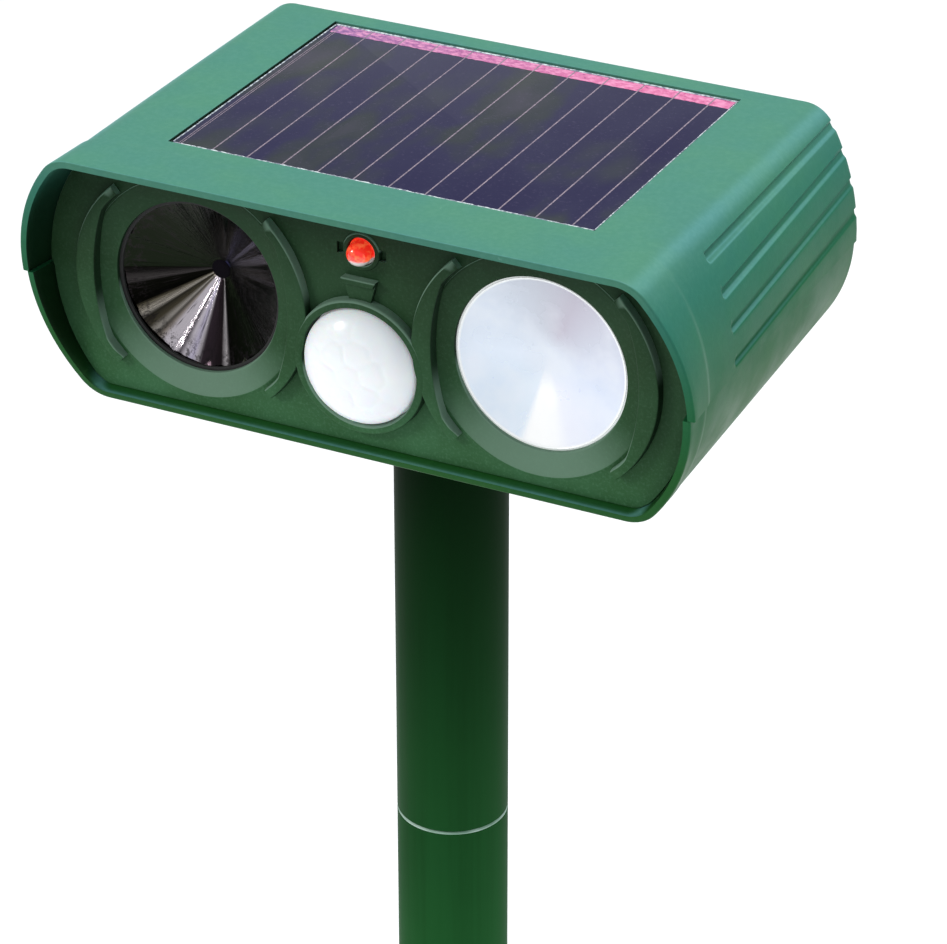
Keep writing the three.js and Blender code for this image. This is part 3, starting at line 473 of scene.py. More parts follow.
def board_green():
    """Solder-masked board with paler tracks."""
    paint = Paint("board_green", (0.02, 0.12, 0.06), 0.45)
    track = paint.node("ShaderNodeTexBrick")
    paint.feed(track.inputs["Vector"], paint.stretched((1, 1, 1)))
    track.inputs["Scale"].default_value = 90
    for socket, color in (("Color1", (0.012, 0.085, 0.042)), ("Color2", (0.016, 0.10, 0.05)),
                          ("Mortar", (0.05, 0.20, 0.10))):
        track.inputs[socket].default_value = (*color, 1)
    cloud = paint.noise(300, 3)
    return paint.finish(track.outputs["Color"], cloud, (0.35, 0.55), cloud, 0.15, 0.0001)


def cell_wrap():
    """Printed sleeve of a battery: blue, with a silver band near its cap."""
    paint = Paint("cell_wrap", (0.05, 0.2, 0.45), 0.35, Coat_Weight=0.3)
    cloud = paint.noise(200, 3)
    tone = paint.tint((0.03, 0.14, 0.36), cloud, 0.3, 0.7, (0.05, 0.20, 0.46))
    tone = paint.tint(tone, paint.axis("Y"), 0.028, 0.0284, (0.6, 0.6, 0.62))
    return paint.finish(tone, cloud, (0.28, 0.42), cloud, 0.1, 0.0001)


SHELL = shell_green()
PLATE = plate_green()
POLE = pole_green()
HORN = horn_mirror()
BLACK = speckled("black_plastic", grey(0.010), grey(0.018), 0.45, 1800)
RUBBER = speckled("black_rubber", grey(0.012), grey(0.022), 0.75, 2400, 0.35)
STEEL = brushed("steel", grey(0.42), grey(0.62), 0.28, (1, 1, 0.1))
BRASS = brushed("brass", (0.45, 0.30, 0.10), (0.62, 0.44, 0.18), 0.3, (1, 0.1, 1))
BOARD = board_green()
WHITE = speckled("white_plastic", grey(0.70), grey(0.82), 0.4, 1500)
FOIL = brushed("reflector_foil", grey(0.55), grey(0.80), 0.15, (1, 1, 1))
MARK = speckled("pale_mark", grey(0.55), grey(0.72), 0.5, 1500)
PEARL = pearl()
MILKY = milky()
LED = led_red()
FILM = solar_film()
LINE = solar_line()
STRIP = solar_foil()
EDGE = solar_edge()
WRAP = cell_wrap()
HORN_CAP = speckled("horn_cap", (0.003, 0.002, 0.004), (0.006, 0.004, 0.009), 0.6, 1200,
                     Specular_IOR_Level=0.05)
# Painted highlight for the chamfer at the pole's joint.
PAINTED_JOINT_HIGHLIGHT = speckled("painted_joint_highlight", (0.28, 0.48, 0.36), (0.62, 0.80, 0.72), 0.35, 900)


# ---- Mesh helpers --------------------------------------------------------------------------

def make(name, vertices, faces, material, body, replaces=(), slot=None, sharp=35):
    """One mesh piece from millimetre points, riding on a body."""
    return settle(name, metre_mesh(name, vertices, faces), material, body, replaces, sharp)


def metre_mesh(name, vertices, faces):
    """A mesh from millimetre points, with its faces looking outward."""
    mesh = bpy.data.meshes.new(name)
    mesh.from_pydata([tuple(part * MM for part in point) for point in vertices], [], faces)
    face_outward(mesh)
    return mesh


def face_outward(mesh):
    work = bmesh.new()
    work.from_mesh(mesh)
    bmesh.ops.recalc_face_normals(work, faces=work.faces)
    work.to_mesh(mesh)
    work.free()


def settle(name, mesh, material, body, replaces=(), sharp=35):
    """Finishes a mesh as a piece: smooth with sharp edges, its material, body and node."""
    face_outward(mesh)
    mesh.shade_smooth()
    mesh.set_sharp_from_angle(angle=math.radians(sharp))
    mesh.materials.clear()
    mesh.materials.append(material)
    piece = bpy.data.objects.new(name, mesh)
    bpy.context.scene.collection.objects.link(piece)
    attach(piece, body)
    if replaces:
        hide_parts(*replaces)
    return piece


class Parts:
    """Collects several closed shapes for one piece."""

    def __init__(self):
        self.vertices = []
        self.faces = []

    def add(self, vertices, faces):
        start = len(self.vertices)
        self.vertices.extend(tuple(point) for point in vertices)
        self.faces.extend(tuple(start + index for index in face) for face in faces)
        return self

    def piece(self, name, material, body, replaces=(), slot=None, sharp=35):
        return make(name, self.vertices, self.faces, material, body, replaces, slot, sharp)


def rounded(profile, radius, steps=4):
    """Rounds the corners of a closed 2-D profile; a point may carry its own radius."""
    result = []
    count = len(profile)
    for index, point in enumerate(profile):
        here = Vector(point[:2])
        r = point[2] if len(point) > 2 else radius
        before = Vector(profile[index - 1][:2]) - here
        after = Vector(profile[(index + 1) % count][:2]) - here
        if r <= 0 or before.length < 1e-6 or after.length < 1e-6:
            result.append(tuple(here))
            continue
        reach = min(r, 0.45 * before.length, 0.45 * after.length)
        start = here + before.normalized() * reach
        end = here + after.normalized() * reach
        for step in range(steps + 1):
            t = step / steps
            result.append(tuple(
                start * (1 - t) ** 2 + here * (2 * t * (1 - t)) + end * t * t
            ))
    return result


def laid(u, v, along, axis):
    return {"Y": (u, along, v), "Z": (u, v, along), "X": (along, u, v)}[axis]


def skin(rings, closed=False, around=True, caps=False):
    """(vertices, faces) over rings of points; a ring of one point makes a fan."""
    vertices, numbered = [], []
    for ring in rings:
        numbered.append(range(len(vertices), len(vertices) + len(ring)))
        vertices += ring
    faces = []
    for first, second in zip(numbered, numbered[1:] + (numbered[:1] if closed else [])):
        count = max(len(first), len(second))
        for index in range(count if around and count > 1 else count - 1):
            after = (index + 1) % count
            quad = [first[index % len(first)], first[after % len(first)],
                    second[after % len(second)], second[index % len(second)]]
            faces.append(tuple(dict.fromkeys(quad)))
    if caps:
        faces += [tuple(numbered[0]), tuple(numbered[-1])]
    return vertices, faces


def circle(radius, along, centre, segments, axis="Y"):
    """A ring of points about an axis, or one point where the radius is nothing."""
    ring = []
    for index in range(1 if radius < 1e-6 else segments):
        angle = 2 * math.pi * index / segments
        ring.append(laid(centre[0] + radius * math.cos(angle),
                         centre[1] + radius * math.sin(angle), along, axis))
    return ring


def turned(profile, centre, axis="Y", segments=96, closed=True):
    """Turns (radius, along) points about an axis; closed joins the last to the first."""
    rings = [circle(radius, along, centre, segments, axis) for radius, along in profile]
    return skin(rings, closed and min(len(rings[0]), len(rings[-1])) > 1)


def lathe(points, radius, centre, axis="Y", segments=96, closed=True):
    """The same, with the profile's corners rounded."""
    return turned(rounded(points, radius), centre, axis, segments, closed)


def prism(outline, low, high, axis="Y", bevel=0.0, steps=3):
    """A closed outline swept along an axis, with rounded edges at both ends."""
    levels = [(0, low), (0, high)]
    if bevel:
        turns = [math.pi / 2 * step / steps for step in range(steps + 1)]
        levels = [(bevel * (1 - math.sin(turn)), low + bevel * (1 - math.cos(turn)))
                  for turn in turns]
        levels += [(inset, low + high - along) for inset, along in reversed(levels)]
    following = outline[1:] + outline[:1]
    normals = []
    for before, after in zip(outline[-1:] + outline[:-1], following):
        along = Vector(after) - Vector(before)
        normals.append(Vector((along.y, -along.x)).normalized())
    area = sum(a[0] * b[1] - b[0] * a[1] for a, b in zip(outline, following))
    flip = 1 if area > 0 else -1
    rings = [[laid(point[0] - flip * normal.x * inset, point[1] - flip * normal.y * inset,
                   along, axis) for point, normal in zip(outline, normals)]
             for inset, along in levels]
    return skin(rings, caps=True)


def rectangle(x0, x1, y0, y1, radius=0.0, steps=4):
    corners = [(x0, y0), (x1, y0), (x1, y1), (x0, y1)]
    return rounded(corners, radius, steps) if radius else corners


def arc(centre, radius, start, end, steps):
    """Points on an arc, with angles in degrees."""
    return [
        (centre[0] + radius * math.cos(math.radians(start + (end - start) * step / steps)),
         centre[1] + radius * math.sin(math.radians(start + (end - start) * step / steps)))
        for step in range(steps + 1)
    ]


def ring_outline(radius, segments=64):
    return arc((0, 0), radius, 0, 360 * (1 - 1 / segments), segments - 1)


def moved(outline, x, y):
    return [(point[0] + x, point[1] + y) for point in outline]


def carve(vertices, faces, cutters):
    """The shape with the cutters' shapes taken away, as one clean mesh."""
    shapes = []
    for shape in [(vertices, faces), *cutters]:
        shapes.append(bpy.data.objects.new("cut", metre_mesh("cut", *shape)))
        bpy.context.scene.collection.objects.link(shapes[-1])
    target, *tools = shapes
    for tool in tools:
        modifier = target.modifiers.new("cut", "BOOLEAN")
        modifier.operation = "DIFFERENCE"
        modifier.solver = "EXACT"
        modifier.object = tool
    bpy.context.view_layer.update()
    evaluated = target.evaluated_get(bpy.context.evaluated_depsgraph_get())
    mesh = bpy.data.meshes.new_from_object(evaluated)
    for made in shapes:
        old = made.data
        bpy.data.objects.remove(made)
        bpy.data.meshes.remove(old)
    return mesh


# ---- The head's shells ---------------------------------------------------------------------

WALL = 2.2
LIP = 1.4  # the rim's thickness
COLLAR_Y = -36.4  # a soft step where the visor meets the case
GROOVE_FRONT = -23.4
GROOVE_LOW = (0.6, 7.6, 14.4, 21.3)  # each groove's lower edge at its front end
GROOVE_RISE = (4.0, 3.4, 2.8, 1.4)
GROOVE_HEIGHT = 2.4
GROOVE_DEPTH = 0.8
SIDE_TOP = 25.4  # where the side's rows end and the corner's begin
RECESS_ROUND = 0.3


def smooth(value, low, high):
    t = min(1.0, max(0.0, (value - low) / (high - low)))
    return t * t * (3 - 2 * t)


def section(y, inset, lower):
    """(half width, half height, side radius, corner radius) of the head at y."""
    step = smooth(y, COLLAR_Y - 1.2, COLLAR_Y + 0.8)
    back = min(1.0, max(0.0, (y - COLLAR_Y) / (BACK_Y - COLLAR_Y)))
    front = min(1.0, max(0.0, (y - RIM_Y) / (COLLAR_Y - RIM_Y)))
    half_width = HALF_WIDTH - 0.5 * front - 0.35 * step - 1.9 * back
    half_height = HALF_HEIGHT - 0.05 * front - 0.08 * step
    side, corner = 40 + 10 * back, 8 - back
    if lower:  # set in at the parting line, and rounder towards the back
        half_width -= 0.95 - 0.5 * smooth(y, -44, -34)
        side, corner = 40 - 8 * back, 8.0
    return half_width - inset, half_height - inset, side - inset, corner - inset


def half_width_at(z, shape):
    half_width, half_height, side, corner = shape
    corner_z = half_height - corner
    side_x = half_width - side
    corner_x = side_x + math.sqrt((side - corner) ** 2 - corner_z ** 2)
    rise = abs(z)
    if rise <= side * corner_z / (side - corner):
        return side_x + math.sqrt(side ** 2 - rise ** 2)
    return corner_x + math.sqrt(max(0.0, corner ** 2 - (rise - corner_z) ** 2))


def corner_at(share, shape):
    half_width, half_height, side, corner = shape
    corner_z = half_height - corner
    corner_x = half_width - side + math.sqrt((side - corner) ** 2 - corner_z ** 2)
    start = math.asin(min(1.0, (SIDE_TOP - corner_z) / corner))
    angle = start + (math.pi / 2 - start) * share
    return corner_x + corner * math.cos(angle), corner_z + corner * math.sin(angle)


def groove_profile(share):
    """Share of the depth across a groove, from its lower edge to its steep upper edge."""
    return smooth(share, 0.0, 0.5) * (1 - smooth(share, 0.84, 1.0))


GROOVE_STEPS = (0, 0.07, 0.14, 0.21, 0.28, 0.35, 0.42, 0.55, 0.68, 0.80, 0.85, 0.9, 0.95, 1.0)


def side_levels(y):
    """(height, groove depth) up the side, from the parting line to the corner."""
    along = max(0.0, (y - GROOVE_FRONT) / (BACK_Y - GROOVE_FRONT))
    levels = [(SPLIT, 0.0)]
    for low, rise in zip(GROOVE_LOW, GROOVE_RISE):
        start = low + rise * along
        below = levels[-1][0]
        count = 2 if below == SPLIT and low == GROOVE_LOW[0] else 6
        levels += [(below + (start - below) * step / count, 0.0) for step in range(1, count)]
        for share in GROOVE_STEPS:
            blunt = 0.5 * abs(share - 0.45)
            run = smooth(y, GROOVE_FRONT + blunt, GROOVE_FRONT + blunt + 1.3)
            depth = GROOVE_DEPTH * groove_profile(share) * run * (1 - 0.45 * along)
            levels.append((start + share * GROOVE_HEIGHT, depth))
    below = levels[-1][0]
    levels += [(below + (SIDE_TOP - below) * step / 3, 0.0) for step in range(1, 4)]
    return levels


RECESS_X = (PANEL_LOW.x - GAP, PANEL_HIGH.x + GAP)
RECESS_Y = (PANEL_LOW.y - GAP, PANEL_HIGH.y + GAP)
RECESS_FLOOR = PANEL_LOW.z - GAP - HEAD_MID
EDGE_STEPS = (-0.3, -0.2, -0.12, -0.06, -0.02, 0.0, 0.02)  # distances inside the recess's edge


def recess_depth(x, y, top):
    inside = min(x - RECESS_X[0], RECESS_X[1] - x, y - RECESS_Y[0], RECESS_Y[1] - y)
    if inside >= 0.01:
        return top - RECESS_FLOOR
    across = min(RECESS_ROUND, max(0.0, inside + RECESS_ROUND))
    return RECESS_ROUND - math.sqrt(RECESS_ROUND ** 2 - across ** 2)


def top_positions():
    """Fixed positions across the flat top, from +X to -X, dense at the recess's edges."""
    edge = [RECESS_X[1] - step for step in EDGE_STEPS]
    middle = [RECESS_X[1] * (1 - step / 6) for step in range(1, 6)]
    half = edge + middle
    return half + [0.0] + [-x for x in reversed(half)]


def upper_section(y, inset, outer):
    """Points over the top half of the head, from the right parting line to the left one."""
    shape = section(y, inset, False)
    right = []
    for z, depth in side_levels(y):
        depth = depth if outer else 0.0
        side = shape[2]
        lean = math.asin(max(-1.0, min(1.0, z / side)))
        right.append((half_width_at(z, shape) - depth * math.cos(lean),
                      z - depth * math.sin(lean)))
    right += [corner_at(step / 10, shape) for step in range(1, 11)]
    corner_x, top = right[-1]
    flat = top_positions()
    right += [(corner_x + (flat[0] - corner_x) * step / 3, top) for step in range(1, 3)]
    middle = []
    for x in flat:
        if outer:
            middle.append((x, top - recess_depth(x, y, top)))
        else:
            tray = abs(x) < 45 and RECESS_Y[0] - 3 < y < RECESS_Y[1] + 1
            middle.append((x, min(top, RECESS_FLOOR - 1.2) if tray else top))
    return right + middle + [(-x, z) for x, z in reversed(right)]


def lower_section(y, inset, outer):
    """Points round the bottom half, from the left parting line to the right one."""
    shape = section(y, inset, True)
    heights = [SPLIT - 0.15 - (SIDE_TOP + SPLIT - 0.15) * step / 26 for step in range(27)]
    right = [(half_width_at(z, shape), z) for z in heights]
    right += [(x, -z) for x, z in (corner_at(step / 10, shape) for step in range(1, 11))]
    corner_x, bottom = right[-1]
    half = [(corner_x * (1 - step / 12), bottom) for step in range(1, 12)]
    right += half
    return [(-x, z) for x, z in right] + [(0.0, bottom)] + list(reversed(right))


def shell_rows(extra):
    """(inset, kind, place, outer): one loop over the outside, the back edge and the inside."""
    lip_round, inner_round, back_round = 0.5, 0.3, 0.4
    rows = []
    for step in range(6):  # the lip's outer edge
        turn = math.pi / 2 * step / 5
        rows.append((lip_round * (1 - math.sin(turn)), "lip", lip_round * (1 - math.cos(turn)),
                     True))
    rows += [(0.0, "visor", share, True) for share in (0.3, 0.5, 0.7, 0.85, 1.0)]
    rows += [(0.0, "case", y, True) for y in extra]
    for step in range(5):  # the back edge
        turn = math.pi / 2 * step / 4
        rows.append((back_round * (1 - math.cos(turn)), "case",
                     BACK_Y - back_round * (1 - math.sin(turn)), True))
    inner = [40, 36, RECESS_Y[1] + 0.5, RECESS_Y[1], 20, 0, -20, RECESS_Y[0] - 2.5, -35.5]
    rows += [(WALL - 0.2, "case", BACK_Y, False), (WALL, "case", BACK_Y - 0.2, False)]
    rows += [(WALL, "case", y, False) for y in sorted(inner, reverse=True)]
    rows += [(2.05 - 0.55 * (1 - share), "visor", share, False)
             for share in (1.0, 0.8, 0.6, 0.3)]
    rows.append((LIP + 0.12, "lip", inner_round + 0.1, False))
    for step in range(1, 4):  # the lip's inner edge
        turn = math.pi / 2 * step / 3
        rows.append((LIP + inner_round * (math.sin(turn) - 1) + inner_round * 0.4, "lip",
                     inner_round * (1 - math.sin(turn)), False))
    return rows


def shell_mesh(make_section, extra):
    """One half of the head: a closed skin over its rows, with flat faces at the parting line."""
    grid = []
    for inset, kind, place, outer in shell_rows(extra):
        nominal = {"case": place, "lip": RIM_Y,
                   "visor": RIM_Y + place * (PLATE_FRONT - RIM_Y)}[kind]
        line = []
        for x, z in make_section(nominal, inset, outer):
            front = RIM_Y + LEAN * (HALF_HEIGHT - z)
            y = {"case": place, "lip": front + place,
                 "visor": front + place * (PLATE_FRONT - front)}[kind]
            line.append((x, y, HEAD_MID + z))
        grid.append(line)
    vertices, faces = skin(grid, closed=True, around=False)
    columns = len(grid[0])
    starts = range(0, len(vertices), columns)
    faces.append(tuple(starts))
    faces.append(tuple(start + columns - 1 for start in reversed(starts)))
    return vertices, faces


def top_shell():
    """Upper half of the head, with its visor, its grooves and the panel's recess."""
    rows = [-37.4, -36.9, -36.4, -35.9, -35.4, -34.5, -33]
    rows += [RECESS_Y[0] + step for step in EDGE_STEPS]
    rows += [-28, -25, GROOVE_FRONT]
    rows += [GROOVE_FRONT + 0.2 * step for step in range(1, 9)]
    rows += [-20, -15, -10, -5, 0, 5, 10, 15, 20, 25, 30, 34]
    rows += [RECESS_Y[1] - step for step in reversed(EDGE_STEPS)]
    rows += [40, 42]
    vertices, faces = shell_mesh(upper_section, sorted(rows))
    make("shell_top", vertices, faces, SHELL, "head", ("top_shell",), "green_shell", 40)


SOCKET_R = POLE_R + GAP
SOCKET_TOP = UPPER_HIGH.z + GAP
SCREW_X, SCREW_Y = 52.0, -16.0
DOORWAY = (DOOR_LOW.x, -17.6, -11.7, DOOR_HIGH.y)
HINGE_Y, HINGE_Z = -13.9, HEAD_MID - HALF_HEIGHT - 2.2
BARREL_R = 1.9
LUG_SPANS = ((-45.6, -40), (-34, -28.4))
KNUCKLE_SPANS = ((-52, -46), (-28, -22))


def bottom_shell():
    """Lower half of the head: the doorway, the pole's socket, screw wells and hinge lugs."""
    floor = HEAD_MID - HALF_HEIGHT
    rows = [-37.4, -36.9, -36.4, -35.9, -35.4, -34.5, -30, -20, -10, 0, 10, 20, 30, 38, 42]
    vertices, faces = shell_mesh(lower_section, rows)
    x0, x1, y0, y1 = DOORWAY
    doorway = prism(rectangle(x0 - GAP, x1 + GAP, y0 - GAP, y1 + GAP, 1.2),
                    floor - 3, floor + 4, "Z")
    cutters = [doorway, prism(ring_outline(SOCKET_R, 96), floor - 3, floor + 6, "Z")]
    for x in (-SCREW_X, SCREW_X):
        cutters.append(prism(moved(ring_outline(3.1, 48), x, SCREW_Y), floor - 3, floor + 6, "Z"))
    shell = carve(vertices, faces, cutters)
    settle("shell_bottom", shell, SHELL, "head", ("bottom_shell",), 40)

    parts = Parts()
    top = SOCKET_TOP
    parts.add(*lathe([
        (SOCKET_R, floor + 0.15), (SOCKET_R + 2.4, floor + 0.15), (SOCKET_R + 2.4, top + 2.4),
        (0.0, top + 2.4, 0), (0.0, top, 0), (SOCKET_R, top),
    ], 0.35, (0, 0), "Z", 96, closed=False))
    for x in (-SCREW_X, SCREW_X):
        parts.add(*lathe([
            (1.6, floor + 2.9), (3.4, floor + 2.9), (3.4, floor + 12), (1.6, floor + 12),
        ], 0.2, (x, SCREW_Y), "Z", 40))
    for low, high in LUG_SPANS:
        outline = arc((HINGE_Y, HINGE_Z), BARREL_R, 180, 360, 20)
        outline += [(HINGE_Y + BARREL_R, floor + 0.5), (HINGE_Y - BARREL_R, floor + 0.5)]
        parts.add(*prism(outline, low, high, "X", 0.3))
    parts.piece("shell_fittings", SHELL, "head", slot="green_shell", sharp=40)


# ---- Face plate ----------------------------------------------------------------------------

CRESCENT_R = 26.4
EYE_RING_R = 23.5  # the sheet's hole, and the crest of the bevelled ring round it
PLATE_CUT = (-45, -30, "Y")
CRESCENT_INNER_R = 42.5
CRESCENT_WIDTH = 4.3
PIR_RING_R = 14.4
FACE_DOME_R = 12.4


def head_outline(y, inset, high, steps):
    """The head's outline in X and Z at y, a little narrower below the parting line."""
    halves = []
    for sign, first in ((1, 0), (-1, 1)):
        shape = section(y, inset, sign < 0)
        heights = [SPLIT + sign * (high - sign * SPLIT) * step / steps
                   for step in range(first, steps + 1)]
        corner = [corner_at(step / 8, shape) for step in range(1, 9)]
        halves.append([(half_width_at(z, shape), z) for z in heights]
                      + [(x, sign * z) for x, z in corner])
    upper, lower = halves
    right = lower[::-1] + upper
    return [(x, z + HEAD_MID) for x, z in right + [(-x, z) for x, z in reversed(right)]]


def crescent(eye_x, side):
    """A raised rib like a bracket: rounded over its edges, blunt at its two ends."""
    shift = CRESCENT_R - CRESCENT_WIDTH - CRESCENT_INNER_R
    reach, count, slimmest, edge = 48.0, 56, 2.1, 0.38
    base, front = PLATE_FRONT + 0.3, RIB_FRONT + 0.06
    turns = (0.0, 0.4, 0.8, 1.2, math.pi / 2)
    rings = []
    for index in range(count + 1):
        angle = math.radians(-reach + 2 * reach * index / count)
        inner = (shift * math.cos(angle)
                 + math.sqrt(CRESCENT_INNER_R ** 2 - (shift * math.sin(angle)) ** 2))
        inner = min(inner, CRESCENT_R - slimmest)
        top = front + 0.5 * (1 - smooth(min(index, count - index), 0, 3))
        bend = min(edge, 0.4 * (CRESCENT_R - inner))
        over = [(bend * (1 - math.cos(t)), top + bend * (1 - math.sin(t))) for t in turns]
        profile = [(inner - 0.12, base), *((inner + step, y) for step, y in over),
                   *((CRESCENT_R - step, y) for step, y in reversed(over)),
                   (CRESCENT_R + 0.12, base)]
        rings.append([(eye_x + side * radius * math.cos(angle), y,
                       EYE_Z + radius * math.sin(angle)) for radius, y in profile])
    return skin(rings, caps=True)


def face_plate():
    """Matte front plate: bevelled eye rings, four crescents, the sensor's ring and the tab."""
    sheet = prism(head_outline(PLATE_FRONT, 2.15, SIDE_TOP, 20), PLATE_FRONT, PLATE_BACK, "Y", 0.2)
    cutters = [
        prism(moved(ring_outline(EYE_RING_R, 96), x, EYE_Z), *PLATE_CUT)
        for x in (-EYE_X, EYE_X)
    ]
    cutters.append(prism(moved(ring_outline(13.0, 96), 0, PIR_Z), *PLATE_CUT))
    cutters.append(prism(moved(ring_outline(3.3, 48), 0, LED_Z), *PLATE_CUT))
    cutters.append(prism(rectangle(-5.4, 5.4, LED_Z - 1.3, LED_Z + 1.1), -45,
                         PLATE_FRONT + 0.9, "Y"))
    sheet_mesh = carve(*sheet, cutters)
    settle("face_sheet", sheet_mesh, PLATE, "head", ("front_panel",), 30)

    parts = Parts()
    for x in (-EYE_X, EYE_X):
        parts.add(*lathe([
            (23.9, -37.7, 0.1), (23.9, -38.05, 0.1), (EYE_RING_R, -38.1, 0.1), (23.1, -38.0, 0),
            (EYE_HOLE_R + 0.5, -37.0, 0), (EYE_HOLE_R + 0.12, -36.91, 0.1),
            (EYE_HOLE_R, RELIEF_BACK, 0.1), (21.2, RELIEF_BACK, 0.1),
        ], 0.2, (x, EYE_Z), "Y", 128))
    parts.add(*lathe([
        (PIR_RING_R + 0.15, -37.7, 0.1), (PIR_RING_R, RIB_FRONT, 0.55),
        (FACE_DOME_R + 0.25, RIB_FRONT, 0.5), (FACE_DOME_R + 0.25, RELIEF_BACK, 0.1),
        (13.6, RELIEF_BACK, 0.1),
    ], 0.2, (0, PIR_Z), "Y", 128))
    for x in (-EYE_X, EYE_X):
        for side in (-1, 1):
            parts.add(*crescent(x, side))
    top, low = HEAD_MID + 10.9, PIR_Z + 13.6
    parts.add(*prism([(-3.7, top), (-2.3, low), (2.3, low), (3.7, top)], -39.1, -37.7, "Y", 0.25))
    parts.add(*prism([(-3.75, top + 0.05), (-3.3, top - 1.2), (3.3, top - 1.2),
                      (3.75, top + 0.05)], -39.9, -38.9, "Y", 0.2))
    parts.add(*lathe([
        (3.0, -36.6), (3.0, -38.35), (3.9, -38.35), (4.1, -37.8), (4.1, -36.6),
    ], 0.2, (0, LED_Z), "Y", 64))
    parts.piece("face_relief", PLATE, "head", slot="green_panel", sharp=40)


# ---- Behind the face: horn, lamp, sensor and light -----------------------------------------

def horn():
    """The creased mirror cone. Each pleat is a flat facet with its own small tilt."""
    draw = random.Random(7)
    front, tip = CONE_LOW.y, CONE_HIGH.y - 0.8
    mouth, end = 18.1, 2.5
    edges, angle = [], 0.0
    while angle < 360:
        edges.append(angle)
        angle += draw.uniform(3.5, 13.0)
    heights = [draw.uniform(-1.0, 1.0) for _ in edges]

    def crease(turn):
        turn %= 360
        for index, start in enumerate(edges):
            stop = edges[index + 1] if index + 1 < len(edges) else 360
            if start <= turn < stop:
                share = (turn - start) / (stop - start)
                following = heights[(index + 1) % len(heights)]
                return heights[index] * (1 - share) + following * share
        return heights[0]

    centre, segments, count = (-EYE_X, EYE_Z), 360, 26
    rings = []
    for ring in range(count + 1):
        share = ring / count
        radius = end + (mouth - end) * share
        along = tip + (front - tip) * share
        line = []
        for index in range(segments):
            turn = 2 * math.pi * index / segments
            fold = crease(index * 360 / segments) * 0.28 * share
            flutter = noise.noise(Vector((math.cos(turn) * 9, math.sin(turn) * 9, share * 6)))
            push = (fold + 0.12 * flutter * smooth(share, 0.75, 1.0)) * (1 - smooth(share, 0.97, 1))
            line.append((-EYE_X + radius * math.cos(turn), along + push,
                         EYE_Z + radius * math.sin(turn)))
        rings.append(line)
    rim = ((mouth + 0.7, front), (mouth + 0.7, front + 0.4), (mouth, front + 0.4),
           (end + 0.3, tip + 0.6))
    rings += [circle(radius, along, centre, segments) for radius, along in rim]
    make("horn_cone", *skin(rings, caps=True), HORN, "head", ("speaker_cone",), "mirror_film", 14)
    cap = lathe([
        (0.0, tip - 0.3, 0), (1.5, tip - 0.25, 0.4), (2.1, tip - 0.05, 0.2),
        (2.1, tip + 0.3, 0.1), (0.0, tip + 0.3, 0),
    ], 0.3, (-EYE_X, EYE_Z), "Y", 64)
    make("horn_cap", *cap, HORN_CAP, "head", slot="black_plastic")
    ring = lathe([
        (17.75, FLANGE_FRONT, 0.2), (20.9, FLANGE_FRONT), (20.9, -35.35), (17.75, -35.35, 0.2),
    ], 0.15, (-EYE_X, EYE_Z), "Y", 128)
    make("horn_seal", *ring, RUBBER, "head", ("speaker_seal",), "black_rubber")


def lamp():
    """Pearly dish in the right eye, with a thin rolled edge."""
    edge_y, rim = LENS_LOW.y + 0.1, EYE_HOLE_R - GAP
    bowl = 2.7
    face = []
    for index in range(41):
        share = index / 40
        face.append((rim * 0.985 * share, edge_y + bowl * (1 - share ** 2) ** 1.1 + 0.12, 0))
    back = LENS_HIGH.y
    profile = rounded([
        *face, (rim - 0.1, edge_y - 0.02, 0.12), (rim, edge_y + 0.2, 0.1), (rim, FLANGE_FRONT, 0),
        (20.6, FLANGE_FRONT), (20.6, -35.4), (17.0, -35.4), (9.0, back - 0.1), (0.0, back - 0.1, 0),
    ], 0.15)
    make("lamp_dish", *turned(profile, (EYE_X, EYE_Z), "Y", 160), PEARL, "head",
         ("flash_lens",), "pearl_lens", 30)


def cell_centres(radius):
    """Centres of the dome lens's cells: one, then six, then twelve."""
    centres = [(0.0, 0.0)]
    for share, count, turn in ((0.42, 6, 0.2), (0.80, 12, 0.5)):
        for index in range(count):
            angle = 2 * math.pi * (index + turn) / count
            centres.append((radius * share * math.cos(angle), radius * share * math.sin(angle)))
    return centres


def sensor_dome():
    """Milky dome with softly faceted lens cells, a flange behind the plate and a hollow."""
    base, height = PLATE_FRONT - 0.6, 6.4
    hollow_r, hollow_base, hollow_height = 11.2, -38.4, 5.1
    centres = cell_centres(FACE_DOME_R)
    segments, count, hollow_count = 144, 44, 8
    rings = []
    for ring in range(count + 1):
        tilt = math.pi / 2 * ring / count
        fade = 1 - smooth(ring / count, 0.85, 1.0)
        line = []
        for x, _, z in circle(FACE_DOME_R * math.sin(tilt), 0, (0, 0), segments):
            near = sorted(math.hypot(x - cx, z - cz) for cx, cz in centres)[:2]
            valley = smooth(near[1] - near[0], 0.0, 1.6)
            sink = (0.11 * (1 - valley) + 0.05 * near[0] / 3) * fade
            line.append((x, base - (height - sink) * math.cos(tilt), PIR_Z + z))
        rings.append(line)
    skirt = [(FACE_DOME_R, FLANGE_FRONT), (13.6, FLANGE_FRONT), (13.6, -35.3), (hollow_r, -35.3),
             (hollow_r, hollow_base)]
    for ring in reversed(range(hollow_count)):
        tilt = math.pi / 2 * ring / hollow_count
        skirt.append((hollow_r * math.sin(tilt), hollow_base - hollow_height * math.cos(tilt)))
    rings += [circle(radius, y, (0, PIR_Z), segments) for radius, y in skirt]
    make("sensor_dome", *skin(rings), MILKY, "head", ("pir_dome",), "milky_dome", 60)


